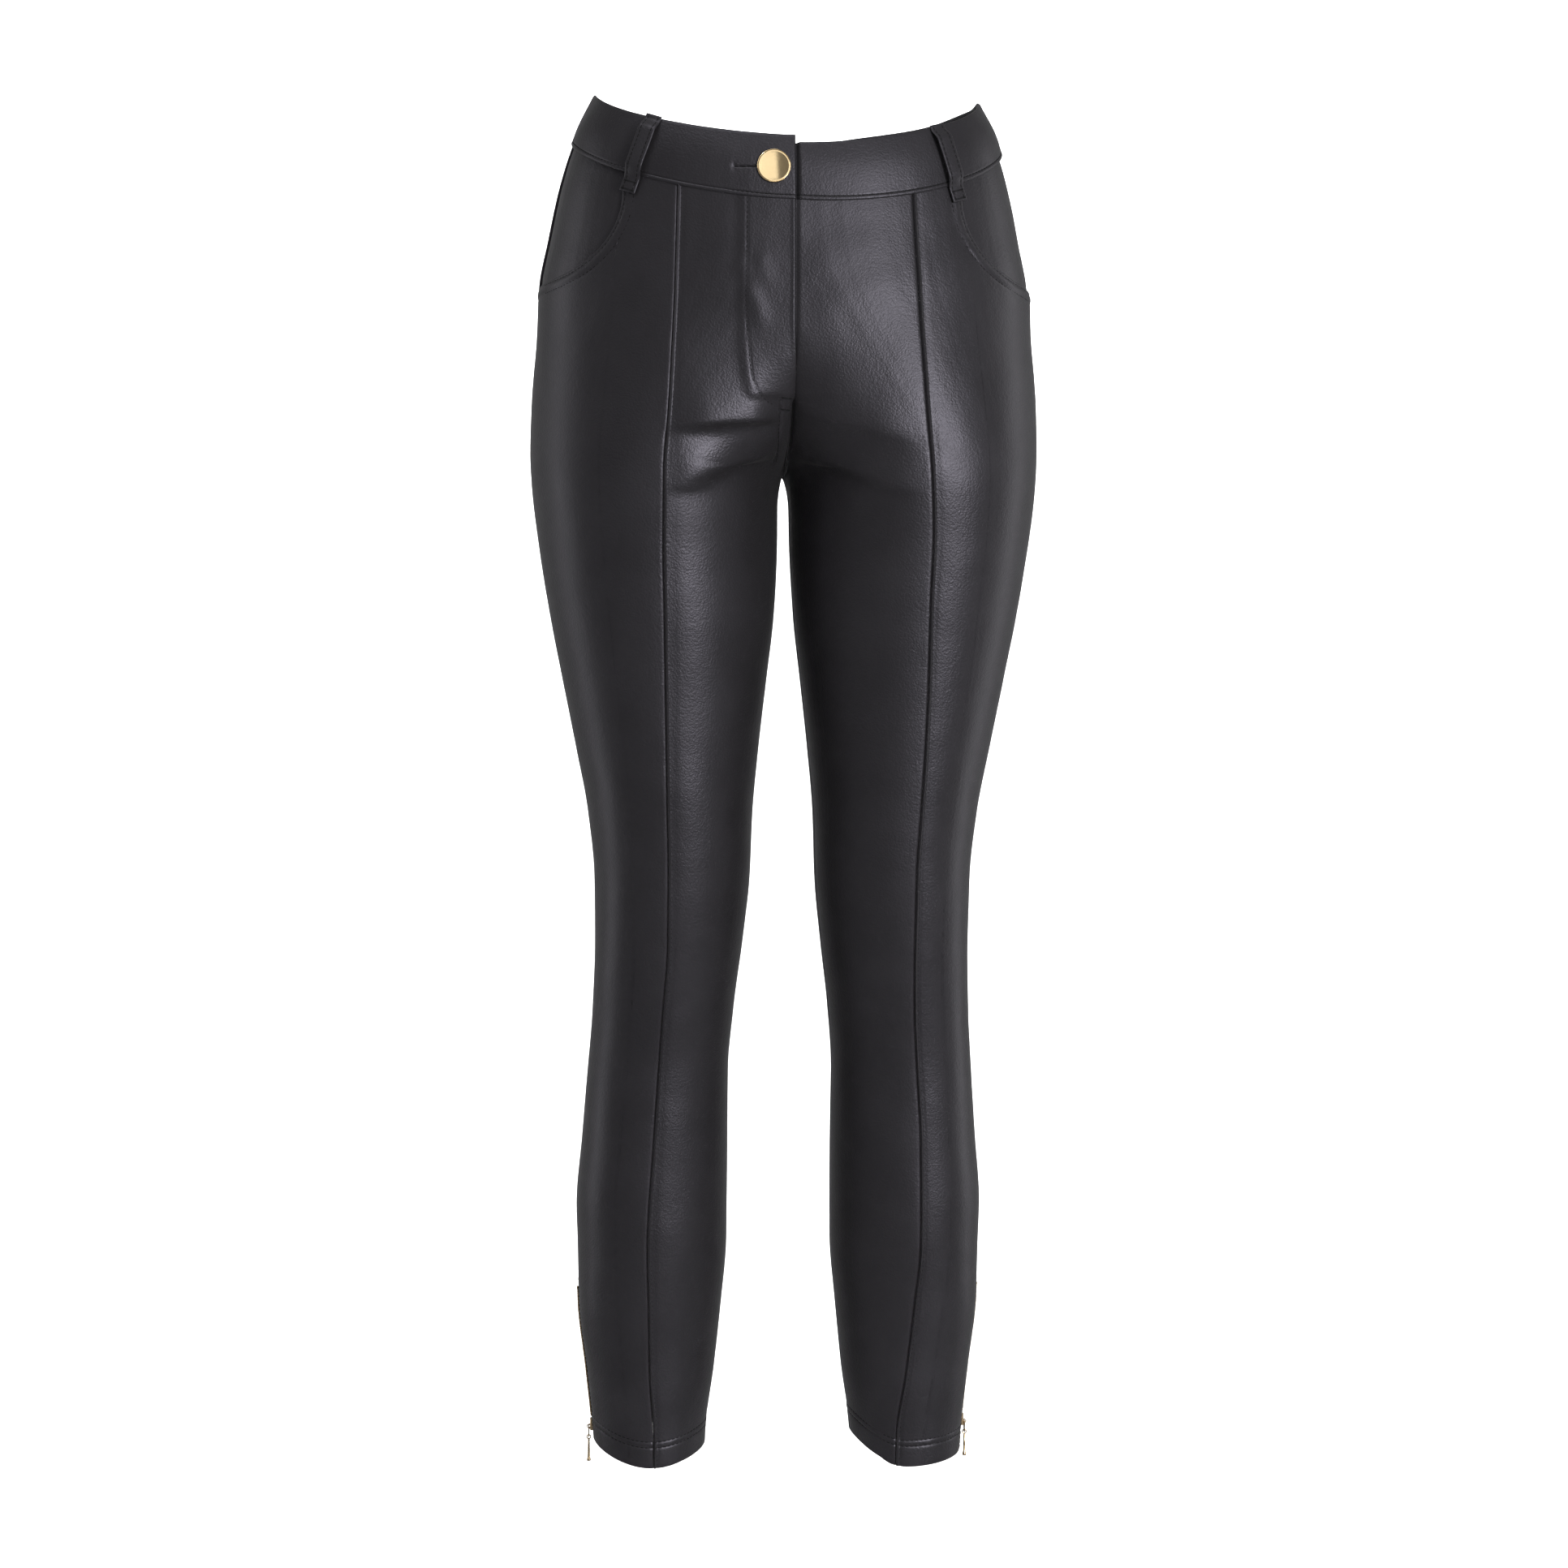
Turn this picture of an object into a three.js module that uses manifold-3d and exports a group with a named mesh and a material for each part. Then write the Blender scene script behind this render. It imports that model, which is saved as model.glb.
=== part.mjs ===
// Faux leather skinny trousers, filled out and hollow, held at the waist.
// Millimetres, +Z up, front towards -Y. The origin is the middle of the waist, level with the
// waistband's lower seam at the sides. Left and right are the wearer's: the right leg is at -X.

import * as THREE from 'three';
import { mergeVertices } from 'three/addons/utils/BufferGeometryUtils.js';
import Module from 'manifold-3d';

const wasm = await Module();
wasm.setup();

// Cloth and seams
const cloth = 1.4; // thickness of one layer of faux leather
const seamGap = 0.3; // between two pieces that meet at a seam
const halfGap = seamGap / 2;
const quadrantSteps = 20; // points on each quarter of a section

// Crotch and rise
const crotch = { y: 14, z: -224, frontRise: 98, backRise: 120, roundness: 2.1 };

// Waistband: its lower seam dips in front, and its height is measured straight up
const waistSeam = { level: -16.5, toFront: -17.5, toEnds: -16.9, toLeft: -0.8 };
const band = {
  frontHeight: { right: 40.5, left: 36.8 }, sideHeight: 34.5, backHeight: 37,
  outside: 0.9, thickness: 2.4, underlap: 34, stepWidth: 9,
};
const bandRows = 3;

// Button on the underlap, and the buttonhole that runs from it
const button = { fromEdge: 14.6, z: -31, radius: 11.2, domeHeight: 1.3, rimHeight: 1.0, shankRadius: 2.6 };
const buttonhole = { length: 27, slit: 1.6, eyeRadius: 3.1 };

// Belt loops: a strip that is sewn down at both ends and stands off the band
const loop = { width: 11, thickness: 1.6, standOff: 6.6, below: 15, seated: 0.3 };
const beltLoops = [
  { name: 'belt_loop_1', side: 'right', face: 'front', x: 110, lean: 18 },
  { name: 'belt_loop_2', side: 'left', face: 'front', x: 111, lean: 16 },
  { name: 'belt_loop_3', side: 'right', face: 'back', x: 92, lean: 8 },
  { name: 'belt_loop_4', side: 'left', face: 'back', x: 92, lean: 8 },
  { name: 'belt_loop_5', side: 'left', face: 'back', x: 0, lean: 0 },
];

// Scoop pocket: straight down from the band to z, then a quarter ellipse round to the side seam,
// with a facing inside it
const pocket = { x: 114, z: -44, depth: 54, overlap: 11, clearance: 0.8, facingThickness: 1.2 };

// Fly: the shield behind the right front's edge
const flyShield = { width: 38, under: 4, length: 102, clearance: 1 };

// Ankle zip in the side seam, closed, with its slider just above the hem
const zip = { top: -795, opening: 5, chainWidth: 4.2, chainProud: 0.5 };
const tape = { width: 14, thickness: 1, clearance: 0.8 };
const slider = { z: -894.5, length: 8.4, plateWidth: 6, plateThickness: 1.4, coreWidth: 4.2 };
const bail = { width: 1.6, radius: 1.5, hole: 0.85, out: 2.75, down: 1.6 };
const link = { length: 7.6, topWidth: 5.4, bottomWidth: 3.4, wire: 0.9 };
const drop = {
  ringRadius: 1.35, ringWire: 0.45, shaftTop: 0.7, shaftBottom: 0.95, length: 17.2, flare: 1.5,
};

// Sections of the filled-out garment, from the waist down. outer: the side seam from the centre
// line; front, back: the fullest points; middle: the widest line; crest: where each face is fullest.
const sections = [
  { z: 60, outer: 122, front: -99, back: 62, middle: -18, crestFront: 0, crestBack: 0 },
  { z: 25, outer: 135.2, front: -104, back: 71, middle: -16, crestFront: 0, crestBack: 0 },
  { z: 0, outer: 147.2, front: -108, back: 79, middle: -14, crestFront: 0, crestBack: 0 },
  { z: -30, outer: 156.5, front: -112, back: 88, middle: -11, crestFront: 0, crestBack: 12 },
  { z: -63, outer: 163.7, front: -114, back: 98, middle: -7, crestFront: 0, crestBack: 26 },
  { z: -96, outer: 170, front: -114, back: 106, middle: -4, crestFront: 6, crestBack: 40 },
  { z: -130, outer: 171.4, front: -111, back: 112, middle: -1, crestFront: 26, crestBack: 52 },
  { z: -175, outer: 175, front: -106, back: 114, middle: 2, crestFront: 58, crestBack: 66 },
  { z: -209, outer: 176, front: -101, back: 111, middle: 4, crestFront: 78, crestBack: 78 },
  { z: -231, outer: 175, front: -98, back: 107, middle: 5, crestFront: 86, crestBack: 84 },
  { z: -276, outer: 169.6, front: -88, back: 98, middle: 6, crestFront: 88, crestBack: 87 },
  { z: -321, outer: 162.3, front: -79, back: 92, middle: 7, crestFront: 86, crestBack: 85 },
  { z: -367, outer: 153.4, front: -69, back: 87, middle: 9, crestFront: 84, crestBack: 83 },
  { z: -412, outer: 144.4, front: -60, back: 84, middle: 12, crestFront: 82, crestBack: 81 },
  { z: -457, outer: 136, front: -51, back: 80, middle: 15, crestFront: 80, crestBack: 79 },
  { z: -503, outer: 131.5, front: -41, back: 80, middle: 20, crestFront: 79, crestBack: 77 },
  { z: -548, outer: 131, front: -30, back: 83, middle: 26, crestFront: 81, crestBack: 79 },
  { z: -595, outer: 132.6, front: -18, back: 90, middle: 35, crestFront: 85, crestBack: 83 },
  { z: -641, outer: 136.1, front: -8, back: 99, middle: 45, crestFront: 89, crestBack: 86 },
  { z: -688, outer: 139.9, front: -2, back: 111, middle: 54, crestFront: 91, crestBack: 88 },
  { z: -736, outer: 143.7, front: 3, back: 117, middle: 60, crestFront: 93, crestBack: 90 },
  { z: -760, outer: 143, front: 6, back: 117, middle: 62, crestFront: 93, crestBack: 90 },
  { z: -806, outer: 141.9, front: 13, back: 115, middle: 64, crestFront: 93, crestBack: 91 },
  { z: -853, outer: 136.5, front: 21, back: 113, middle: 67, crestFront: 91, crestBack: 91 },
  { z: -901, outer: 131.5, front: 27, back: 112, middle: 69, crestFront: 90, crestBack: 91 },
  { z: -940, outer: 129, front: 30, back: 112, middle: 70, crestFront: 90, crestBack: 91 },
];

// Below the crotch, inner is each leg's innermost line from the centre line. seamRight, seamLeft: the
// front leg seam on each side; inseam: how far round to the front of the innermost line it lies.
const legs = [
  { z: 60, inner: 0, seamRight: 78, seamLeft: 78, inseam: 0 },
  { z: -25, inner: 0, seamRight: 78, seamLeft: 78, inseam: 0 },
  { z: -110, inner: 0, seamRight: 80, seamLeft: 82, inseam: 0 },
  { z: -190, inner: 0, seamRight: 84, seamLeft: 88, inseam: 0 },
  { z: -231, inner: 3.7, seamRight: 87, seamLeft: 92, inseam: 0 },
  { z: -276, inner: 4.4, seamRight: 87, seamLeft: 94, inseam: 2 },
  { z: -321, inner: 6.8, seamRight: 86, seamLeft: 93, inseam: 3 },
  { z: -367, inner: 11.9, seamRight: 85, seamLeft: 93, inseam: 4 },
  { z: -412, inner: 17, seamRight: 84, seamLeft: 92, inseam: 5 },
  { z: -457, inner: 21, seamRight: 83, seamLeft: 90, inseam: 6 },
  { z: -503, inner: 22.8, seamRight: 82, seamLeft: 88, inseam: 6 },
  { z: -548, inner: 27.4, seamRight: 82, seamLeft: 88, inseam: 5 },
  { z: -595, inner: 33.1, seamRight: 85, seamLeft: 89, inseam: 4 },
  { z: -641, inner: 36.6, seamRight: 88, seamLeft: 92, inseam: 3 },
  { z: -688, inner: 36.5, seamRight: 91, seamLeft: 95, inseam: 2 },
  { z: -760, inner: 36.9, seamRight: 95, seamLeft: 96, inseam: 2 },
  { z: -806, inner: 40.7, seamRight: 94, seamLeft: 92, inseam: 2 },
  { z: -853, inner: 45.5, seamRight: 93, seamLeft: 87, inseam: 2 },
  { z: -901, inner: 51.8, seamRight: 90, seamLeft: 81, inseam: 2 },
  { z: -940, inner: 53, seamRight: 90, seamLeft: 81, inseam: 2 },
];

// Heights of the hem round each leg
const hems = {
  right: { outer: -905, inner: -908, front: -918.5, back: -902 },
  left: { outer: -915, inner: -901, front: -920, back: -902 },
};

// The largest folds: each a soft ridge, or a trough where its height is below zero, from one
// place to another on the front or back. x is the world's, so the two legs differ.
const folds = [
  { face: 'front', fromX: -14, fromZ: -190, toX: -82, toZ: -190, height: 2.4, width: 9 },
  { face: 'front', fromX: -12, fromZ: -201, toX: -72, toZ: -206, height: -2.2, width: 6 },
  { face: 'front', fromX: -14, fromZ: -211, toX: -72, toZ: -236, height: 2.2, width: 9 },
  { face: 'front', fromX: 22, fromZ: -198, toX: 72, toZ: -196, height: 1.8, width: 10 },
  { face: 'front', fromX: 4, fromZ: -213, toX: 74, toZ: -210, height: -2.0, width: 8 },
  { face: 'front', fromX: 6, fromZ: -220, toX: 70, toZ: -240, height: 1.6, width: 9 },
  { face: 'front', fromX: 6, fromZ: -120, toX: 84, toZ: -86, height: 1.4, width: 14 },
  { face: 'back', fromX: -10, fromZ: -206, toX: -96, toZ: -232, height: -2.4, width: 10 },
  { face: 'back', fromX: 12, fromZ: -208, toX: 92, toZ: -236, height: -2.2, width: 10 },
  { face: 'back', fromX: -50, fromZ: -520, toX: -112, toZ: -534, height: -2.4, width: 12 },
  { face: 'back', fromX: 48, fromZ: -528, toX: 108, toZ: -518, height: -2.2, width: 12 },
  { face: 'back', fromX: -56, fromZ: -562, toX: -108, toZ: -556, height: -1.8, width: 12 },
  { face: 'back', fromX: 54, fromZ: -566, toX: 106, toZ: -572, height: -2.0, width: 12 },
];

// Rows of the cloth: shares of the way from its top edge to the first level, then heights
const topShares = [0, 0.08, 0.25, 0.45, 0.65, 0.85];
const levels = [
  -136, -154, -171, -186, -198, -208, -216, -221, -224, -227, -232, -240, -252, -268, -288, -310, -334,
  -358, -382, -406, -430, -454, -476, -496, -512, -526, -542, -558, -574, -594, -616, -640, -664, -688,
  -712, -736, -760, -783, -795, -818, -842, -864, -884,
];
const hemRows = 2;

const centreColumns = 5;
const sideColumnsBeforePocket = 2;
const mouthAngles = [0, 25, 48, 68]; // degrees round the pocket's quarter ellipse
const sideColumnsAfterPocket = 3;
const backColumns = 11;

const finishes = {
  leather: { color: 0x1d1b1d, roughness: 0.42, metalness: 0 },
  gold: { color: 0xd8b26a, roughness: 0.25, metalness: 1 },
  tape: { color: 0x151416, roughness: 0.85, metalness: 0 },
};

// A smooth curve through a table's column, with no overshoot between its rows
function column(table, name) {
  const rows = table.filter((row) => row[name] !== undefined).sort((a, b) => a.z - b.z);
  const slopes = [];
  for (let i = 0; i + 1 < rows.length; i += 1) {
    slopes.push((rows[i + 1][name] - rows[i][name]) / (rows[i + 1].z - rows[i].z));
  }
  const tangents = rows.map((_, i) => {
    if (i === 0 || i === rows.length - 1) return slopes[Math.min(i, slopes.length - 1)];
    const before = slopes[i - 1];
    const after = slopes[i];
    return before * after <= 0 ? 0 : (2 * before * after) / (before + after);
  });
  return (z) => {
    const height = THREE.MathUtils.clamp(z, rows[0].z, rows[rows.length - 1].z);
    let i = 0;
    while (i < rows.length - 2 && height > rows[i + 1].z) i += 1;
    const span = rows[i + 1].z - rows[i].z;
    const t = (height - rows[i].z) / span;
    const t2 = t * t;
    const t3 = t2 * t;
    return (2 * t3 - 3 * t2 + 1) * rows[i][name] + (t3 - 2 * t2 + t) * span * tangents[i]
      + (3 * t2 - 2 * t3) * rows[i + 1][name] + (t3 - t2) * span * tangents[i + 1];
  };
}

const outerAt = column(sections, 'outer');
const frontAt = column(sections, 'front');
const backAt = column(sections, 'back');
const middleAt = column(sections, 'middle');
const crestFrontAt = column(sections, 'crestFront');
const crestBackAt = column(sections, 'crestBack');
const innerAt = column(legs, 'inner');
const inseamAt = column(legs, 'inseam');

const sides = {
  right: { name: 'right', sign: -1, seamAt: column(legs, 'seamRight'), hem: hems.right },
  left: { name: 'left', sign: 1, seamAt: column(legs, 'seamLeft'), hem: hems.left },
};

// How far the centre seam has come from the crotch towards the fullest point, at a height
function riseShare(z, rise) {
  const up = THREE.MathUtils.clamp((z - crotch.z) / rise, 0, 1);
  return (1 - (1 - up) ** crotch.roundness) ** (1 / crotch.roundness);
}

// A quarter of a superellipse from one point to another, flat at the end that is fullest
function quarter(fromX, fromY, toX, toY, power) {
  const points = [];
  for (let k = 0; k <= quadrantSteps; k += 1) {
    const angle = (k / quadrantSteps) * (Math.PI / 2);
    const across = 1 - Math.cos(angle) ** (2 / power);
    const along = Math.sin(angle) ** (2 / power);
    points.push([fromX + (toX - fromX) * across, fromY + (toY - fromY) * along]);
  }
  return points;
}

// The section of one side at a height, with x outward from the centre line: from the centre
// front or inseam round the side to the centre back or inseam again
const sectionCache = new Map();
function section(side, z) {
  const key = `${side.name} ${z.toFixed(4)}`;
  if (sectionCache.has(key)) return sectionCache.get(key);

  const below = Math.max(0, crotch.z - z);
  const closed = below > 0;
  const inner = halfGap + Math.max(0, innerAt(z) - halfGap) * (1 - Math.exp(-below / 3));
  const outer = outerAt(z);
  const front = frontAt(z);
  const back = backAt(z);
  const middle = middleAt(z);
  const crestFront = Math.max(inner, crestFrontAt(z));
  const crestBack = Math.max(inner, crestBackAt(z));
  const innermost = THREE.MathUtils.lerp(crotch.y, middle, THREE.MathUtils.smoothstep(below, 0, 90));
  const startY = closed ? innermost : crotch.y + (front - crotch.y) * riseShare(z, crotch.frontRise);
  const endY = closed ? innermost : crotch.y + (back - crotch.y) * riseShare(z, crotch.backRise);

  const points = [
    ...quarter(inner, startY, crestFront, front, 2),
    ...quarter(outer, middle, crestFront, front, 2.25).reverse(),
    ...quarter(outer, middle, crestBack, back, 2.15),
    ...quarter(inner, endY, crestBack, back, 2).reverse(),
  ];
  const lengths = [0];
  for (let k = 1; k < points.length; k += 1) {
    const step = Math.hypot(points[k][0] - points[k - 1][0], points[k][1] - points[k - 1][1]);
    lengths.push(lengths[k - 1] + step);
  }
  const result = { points, lengths, closed, total: lengths[lengths.length - 1] };
  result.start = closed ? inseamAt(z) : 0;
  result.end = result.total + result.start;
  result.side = lengths[2 * quadrantSteps + 1];
  result.legSeam = distanceAtX(result, side.seamAt(z), 'front');
  sectionCache.set(key, result);
  return result;
}

// How far along a section its front or back passes a distance from the centre line
function distanceAtX(outline, x, face) {
  const { points, lengths } = outline;
  const middle = 2 * quadrantSteps + 1;
  const onFront = face === 'front';
  for (let k = 1; k <= middle; k += 1) {
    const a = onFront ? k - 1 : points.length - k;
    const b = onFront ? k : points.length - 1 - k;
    if (points[b][0] >= x && points[b][0] > points[a][0]) {
      const share = THREE.MathUtils.clamp((x - points[a][0]) / (points[b][0] - points[a][0]), 0, 1);
      return THREE.MathUtils.lerp(lengths[a], lengths[b], share);
    }
  }
  return lengths[middle];
}

function pointOnSection(outline, distance) {
  const { points, lengths, closed, total } = outline;
  let along = distance;
  if (closed && along > total) along -= total;
  along = THREE.MathUtils.clamp(along, 0, total);
  let low = 0;
  let high = lengths.length - 1;
  while (high - low > 1) {
    const half = (low + high) >> 1;
    if (lengths[half] <= along) low = half;
    else high = half;
  }
  const step = lengths[high] - lengths[low];
  const share = step > 0 ? (along - lengths[low]) / step : 0;
  return [
    THREE.MathUtils.lerp(points[low][0], points[high][0], share),
    THREE.MathUtils.lerp(points[low][1], points[high][1], share),
  ];
}

// A place on a side is a function from a height to a distance along that height's section
function alongPanel(panel, share, insetStart = 0, insetEnd = 0) {
  return (outline, z) => {
    const ends = {
      centre: [outline.start, outline.legSeam],
      side: [outline.legSeam, outline.side],
      back: [outline.side, outline.end],
    }[panel];
    const from = ends[0] + (typeof insetStart === 'function' ? insetStart(z) : insetStart);
    const to = ends[1] - (typeof insetEnd === 'function' ? insetEnd(z) : insetEnd);
    return THREE.MathUtils.lerp(from, to, share);
  };
}

const fromCentreFront = (distance) => () => distance;
const fromCentreBack = (distance) => (outline) => outline.total - distance;
const fromSideSeam = (distance) => (outline) => outline.side + distance;

function bareCloth(side, place, z) {
  const outline = section(side, z);
  const [x, y] = pointOnSection(outline, place(outline, z));
  return new THREE.Vector3(side.sign * x, y, z);
}

// Which way the cloth faces
function clothNormal(side, place, z) {
  const shift = (by) => (outline, height) => place(outline, height) + by;
  const across = bareCloth(side, shift(1.2), z).sub(bareCloth(side, shift(-1.2), z));
  const up = bareCloth(side, place, z + 1.5).sub(bareCloth(side, place, z - 1.5));
  return across.cross(up).multiplyScalar(side.sign).normalize();
}

function foldHeight(point, face) {
  let height = 0;
  for (const fold of folds) {
    if (fold.face !== face) continue;
    const runX = fold.toX - fold.fromX;
    const runZ = fold.toZ - fold.fromZ;
    const length = Math.hypot(runX, runZ);
    const along = ((point.x - fold.fromX) * runX + (point.z - fold.fromZ) * runZ) / length;
    const aside = ((point.x - fold.fromX) * runZ - (point.z - fold.fromZ) * runX) / length;
    const fade = THREE.MathUtils.smoothstep(along, -0.15 * length, 0.25 * length)
      * (1 - THREE.MathUtils.smoothstep(along, 0.6 * length, 1.15 * length));
    height += fold.height * fade * Math.exp(-((aside / fold.width) ** 2));
  }
  return height;
}

// A point of the cloth's outer face, moved out of it by a distance
function clothPoint(side, place, z, out = 0) {
  const point = bareCloth(side, place, z);
  const normal = clothNormal(side, place, z);
  const face = point.y < middleAt(z) ? 'front' : 'back';
  const edge = THREE.MathUtils.smoothstep(Math.abs(point.y - middleAt(z)), 4, 30);
  return point.addScaledVector(normal, out + edge * foldHeight(point, face));
}

// A closed wall from two grids of points, row by row from the top, the second one inside
function wall(outerRows, innerRows, sign) {
  const rows = outerRows.length;
  const columns = outerRows[0].length;
  const positions = [];
  for (const grid of [outerRows, innerRows]) {
    for (const row of grid) {
      for (const point of row) positions.push(point.x, point.y, point.z);
    }
  }
  const outer = (row, col) => row * columns + col;
  const inner = (row, col) => rows * columns + row * columns + col;
  const index = [];
  const quad = (a, b, c, d) => {
    if (sign > 0) index.push(a, b, c, a, c, d);
    else index.push(a, c, b, a, d, c);
  };
  for (let row = 0; row + 1 < rows; row += 1) {
    for (let col = 0; col + 1 < columns; col += 1) {
      quad(outer(row, col), outer(row + 1, col), outer(row + 1, col + 1), outer(row, col + 1));
      quad(inner(row, col), inner(row, col + 1), inner(row + 1, col + 1), inner(row + 1, col));
    }
    quad(outer(row, 0), inner(row, 0), inner(row + 1, 0), outer(row + 1, 0));
    const last = columns - 1;
    quad(outer(row + 1, last), inner(row + 1, last), inner(row, last), outer(row, last));
  }
  for (let col = 0; col + 1 < columns; col += 1) {
    quad(outer(0, col), outer(0, col + 1), inner(0, col + 1), inner(0, col));
    const last = rows - 1;
    quad(outer(last, col + 1), outer(last, col), inner(last, col), inner(last, col + 1));
  }
  const geometry = new THREE.BufferGeometry();
  geometry.setAttribute('position', new THREE.Float32BufferAttribute(positions, 3));
  geometry.setIndex(index);
  return geometry;
}

// A strip or panel of cloth: places across it, heights down each, and how far out its faces lie
function clothWall(side, places, heightsAt, out, thickness) {
  const outAt = typeof out === 'function' ? out : () => out;
  const columns = places.map((place) => heightsAt(place));
  const grid = (depth) => columns[0].map((_, row) => places.map((place, col) => {
    const z = columns[col][row];
    return clothPoint(place.side ?? side, place.at, z, outAt(place, row) - depth);
  }));
  return wall(grid(0), grid(thickness), side.sign);
}

// Angle round the waist from the centre front, from the place's point at the origin's height
function waistAngle(side, place) {
  const [x, y] = pointOnSection(section(side, 0), place(section(side, 0), 0));
  const depth = y < middleAt(0) ? middleAt(0) - frontAt(0) : backAt(0) - middleAt(0);
  return Math.atan2(x / outerAt(0), (middleAt(0) - y) / depth);
}

function waistSeamHeight(side, place) {
  const angle = waistAngle(side, place);
  return waistSeam.level + waistSeam.toFront * Math.cos(angle) + waistSeam.toEnds * Math.cos(2 * angle)
    + side.sign * waistSeam.toLeft * Math.sin(angle);
}

// The left band is lower than the right one where it goes under it
function bandHeight(side, place, strip = side) {
  const angle = waistAngle(side, place);
  const ends = Math.cos(angle) > 0 ? band.frontHeight[strip.name] : band.backHeight;
  return THREE.MathUtils.lerp(ends, band.sideHeight, Math.sin(angle) ** 2);
}

function hemHeight(side, place) {
  const z = levels[levels.length - 1];
  const outline = section(side, z);
  const [x, y] = pointOnSection(outline, place(outline, z));
  const centre = (outerAt(z) + innerAt(z)) / 2;
  const across = (x - centre) / (outerAt(z) - centre);
  const depth = y < middleAt(z) ? middleAt(z) - frontAt(z) : backAt(z) - middleAt(z);
  const along = (middleAt(z) - y) / depth;
  const { hem } = side;
  const ends = across > 0 ? hem.outer : hem.inner;
  const faces = along > 0 ? hem.front : hem.back;
  return (ends * across * across + faces * along * along) / (across * across + along * along);
}

// Height of the pocket's edge at a distance from the centre line
function pocketEdge(side, x, grow) {
  const top = pocket.z + side.sign * waistSeam.toLeft;
  const reach = outerAt(top - pocket.depth);
  const across = THREE.MathUtils.clamp((reach - x) / (reach - pocket.x + grow), 0, 1);
  return top - (pocket.depth + grow) * Math.sqrt(1 - across * across);
}

// The height where a place meets the pocket's edge, or a line that is further out by grow
function pocketHeight(side, place, grow = 0) {
  let z = pocket.z;
  for (let step = 0; step < 12; step += 1) {
    z = (z + pocketEdge(side, Math.abs(bareCloth(side, place, z).x), grow)) / 2;
  }
  return z;
}

function shareAtX(side, x, z) {
  const outline = section(side, z);
  return (distanceAtX(outline, x, 'front') - outline.legSeam) / (outline.side - outline.legSeam);
}

// Shares across the side panel: up to the facing's edge, round the pocket's mouth, then to the side
function sideShares(side) {
  const reach = outerAt(pocket.z - pocket.depth);
  const facingShare = shareAtX(side, pocket.x - pocket.overlap, pocket.z);
  const before = evenShares(sideColumnsBeforePocket).map((share) => ({ share: share * facingShare }));
  const mouth = mouthAngles.map((degrees) => {
    const angle = THREE.MathUtils.degToRad(degrees);
    const x = reach - (reach - pocket.x) * Math.cos(angle);
    const share = shareAtX(side, x, pocket.z - pocket.depth * Math.sin(angle));
    return { share, inFacing: true, inMouth: degrees > 0 };
  });
  before[before.length - 1].inFacing = true;
  const last = mouth[mouth.length - 1].share;
  const after = evenShares(sideColumnsAfterPocket).slice(1).map((share) => (
    { share: THREE.MathUtils.lerp(last, 1, share), inFacing: true, inMouth: true }
  ));
  return [...before, ...mouth, ...after];
}

// Half of the side seam's opening, which widens to take the zip
function sideOpening(z) {
  const closed = THREE.MathUtils.smoothstep(z, zip.top, zip.top + 12);
  return THREE.MathUtils.lerp(zip.opening / 2, halfGap, closed);
}

function panelHeights(side, place, top) {
  const heights = topShares.map((share) => THREE.MathUtils.lerp(top, levels[0], share));
  heights.push(...levels);
  const hem = hemHeight(side, place);
  for (let row = 1; row <= hemRows; row += 1) {
    heights.push(THREE.MathUtils.lerp(levels[levels.length - 1], hem, row / hemRows));
  }
  return heights;
}

const evenShares = (count) => Array.from({ length: count + 1 }, (_, k) => k / count);

function frontCentre(side) {
  const places = evenShares(centreColumns).map((share) => ({
    at: alongPanel('centre', share, (z) => (z > crotch.z ? 0 : halfGap), halfGap),
  }));
  const heights = ({ at }) => panelHeights(side, at, waistSeamHeight(side, at) - halfGap);
  return clothWall(side, places, heights, 0, cloth);
}

function frontSide(side) {
  const places = sideShares(side).map(({ share, inMouth }) => (
    { at: alongPanel('side', share, halfGap, sideOpening), inMouth }
  ));
  const top = ({ at, inMouth }) => (inMouth ? pocketHeight(side, at) : waistSeamHeight(side, at) - halfGap);
  return clothWall(side, places, (place) => panelHeights(side, place.at, top(place)), 0, cloth);
}

function backPanel(side) {
  const places = evenShares(backColumns).map((share) => ({
    at: alongPanel('back', share, sideOpening, (z) => (z > crotch.z ? 0 : halfGap)),
  }));
  const heights = ({ at }) => panelHeights(side, at, waistSeamHeight(side, at) - halfGap);
  return clothWall(side, places, heights, 0, cloth);
}

function pocketFacing(side) {
  const rows = evenShares(3);
  const places = sideShares(side).filter(({ inFacing }) => inFacing).map(({ share }) => (
    { at: alongPanel('side', share, 0, halfGap) }
  ));
  const heights = ({ at }) => {
    const top = waistSeamHeight(side, at) - halfGap;
    const low = pocketHeight(side, at, pocket.overlap);
    return rows.map((share) => THREE.MathUtils.lerp(top, low, share));
  };
  return clothWall(side, places, heights, -cloth - pocket.clearance, pocket.facingThickness);
}

function flyShieldWall() {
  const distances = [flyShield.width, 26, 13, 0.5];
  const places = distances.map((distance) => ({ side: sides.right, at: fromCentreFront(distance) }));
  places.push({ side: sides.left, at: fromCentreFront(flyShield.under) });
  const top = waistSeamHeight(sides.right, fromCentreFront(0)) - halfGap;
  const heights = ({ at }) => {
    const share = at(null) / flyShield.width;
    const low = top - flyShield.length * (1 - 0.25 * share ** 3);
    return evenShares(7).map((down) => THREE.MathUtils.lerp(top - 0.4, low, down));
  };
  return clothWall(sides.left, places, heights, -cloth - flyShield.clearance, cloth);
}

function bandHeights(side, at, strip) {
  const low = waistSeamHeight(side, at) + halfGap;
  const high = waistSeamHeight(side, at) + bandHeight(side, at, strip);
  return evenShares(bandRows).map((share) => THREE.MathUtils.lerp(high, low, share));
}

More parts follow.
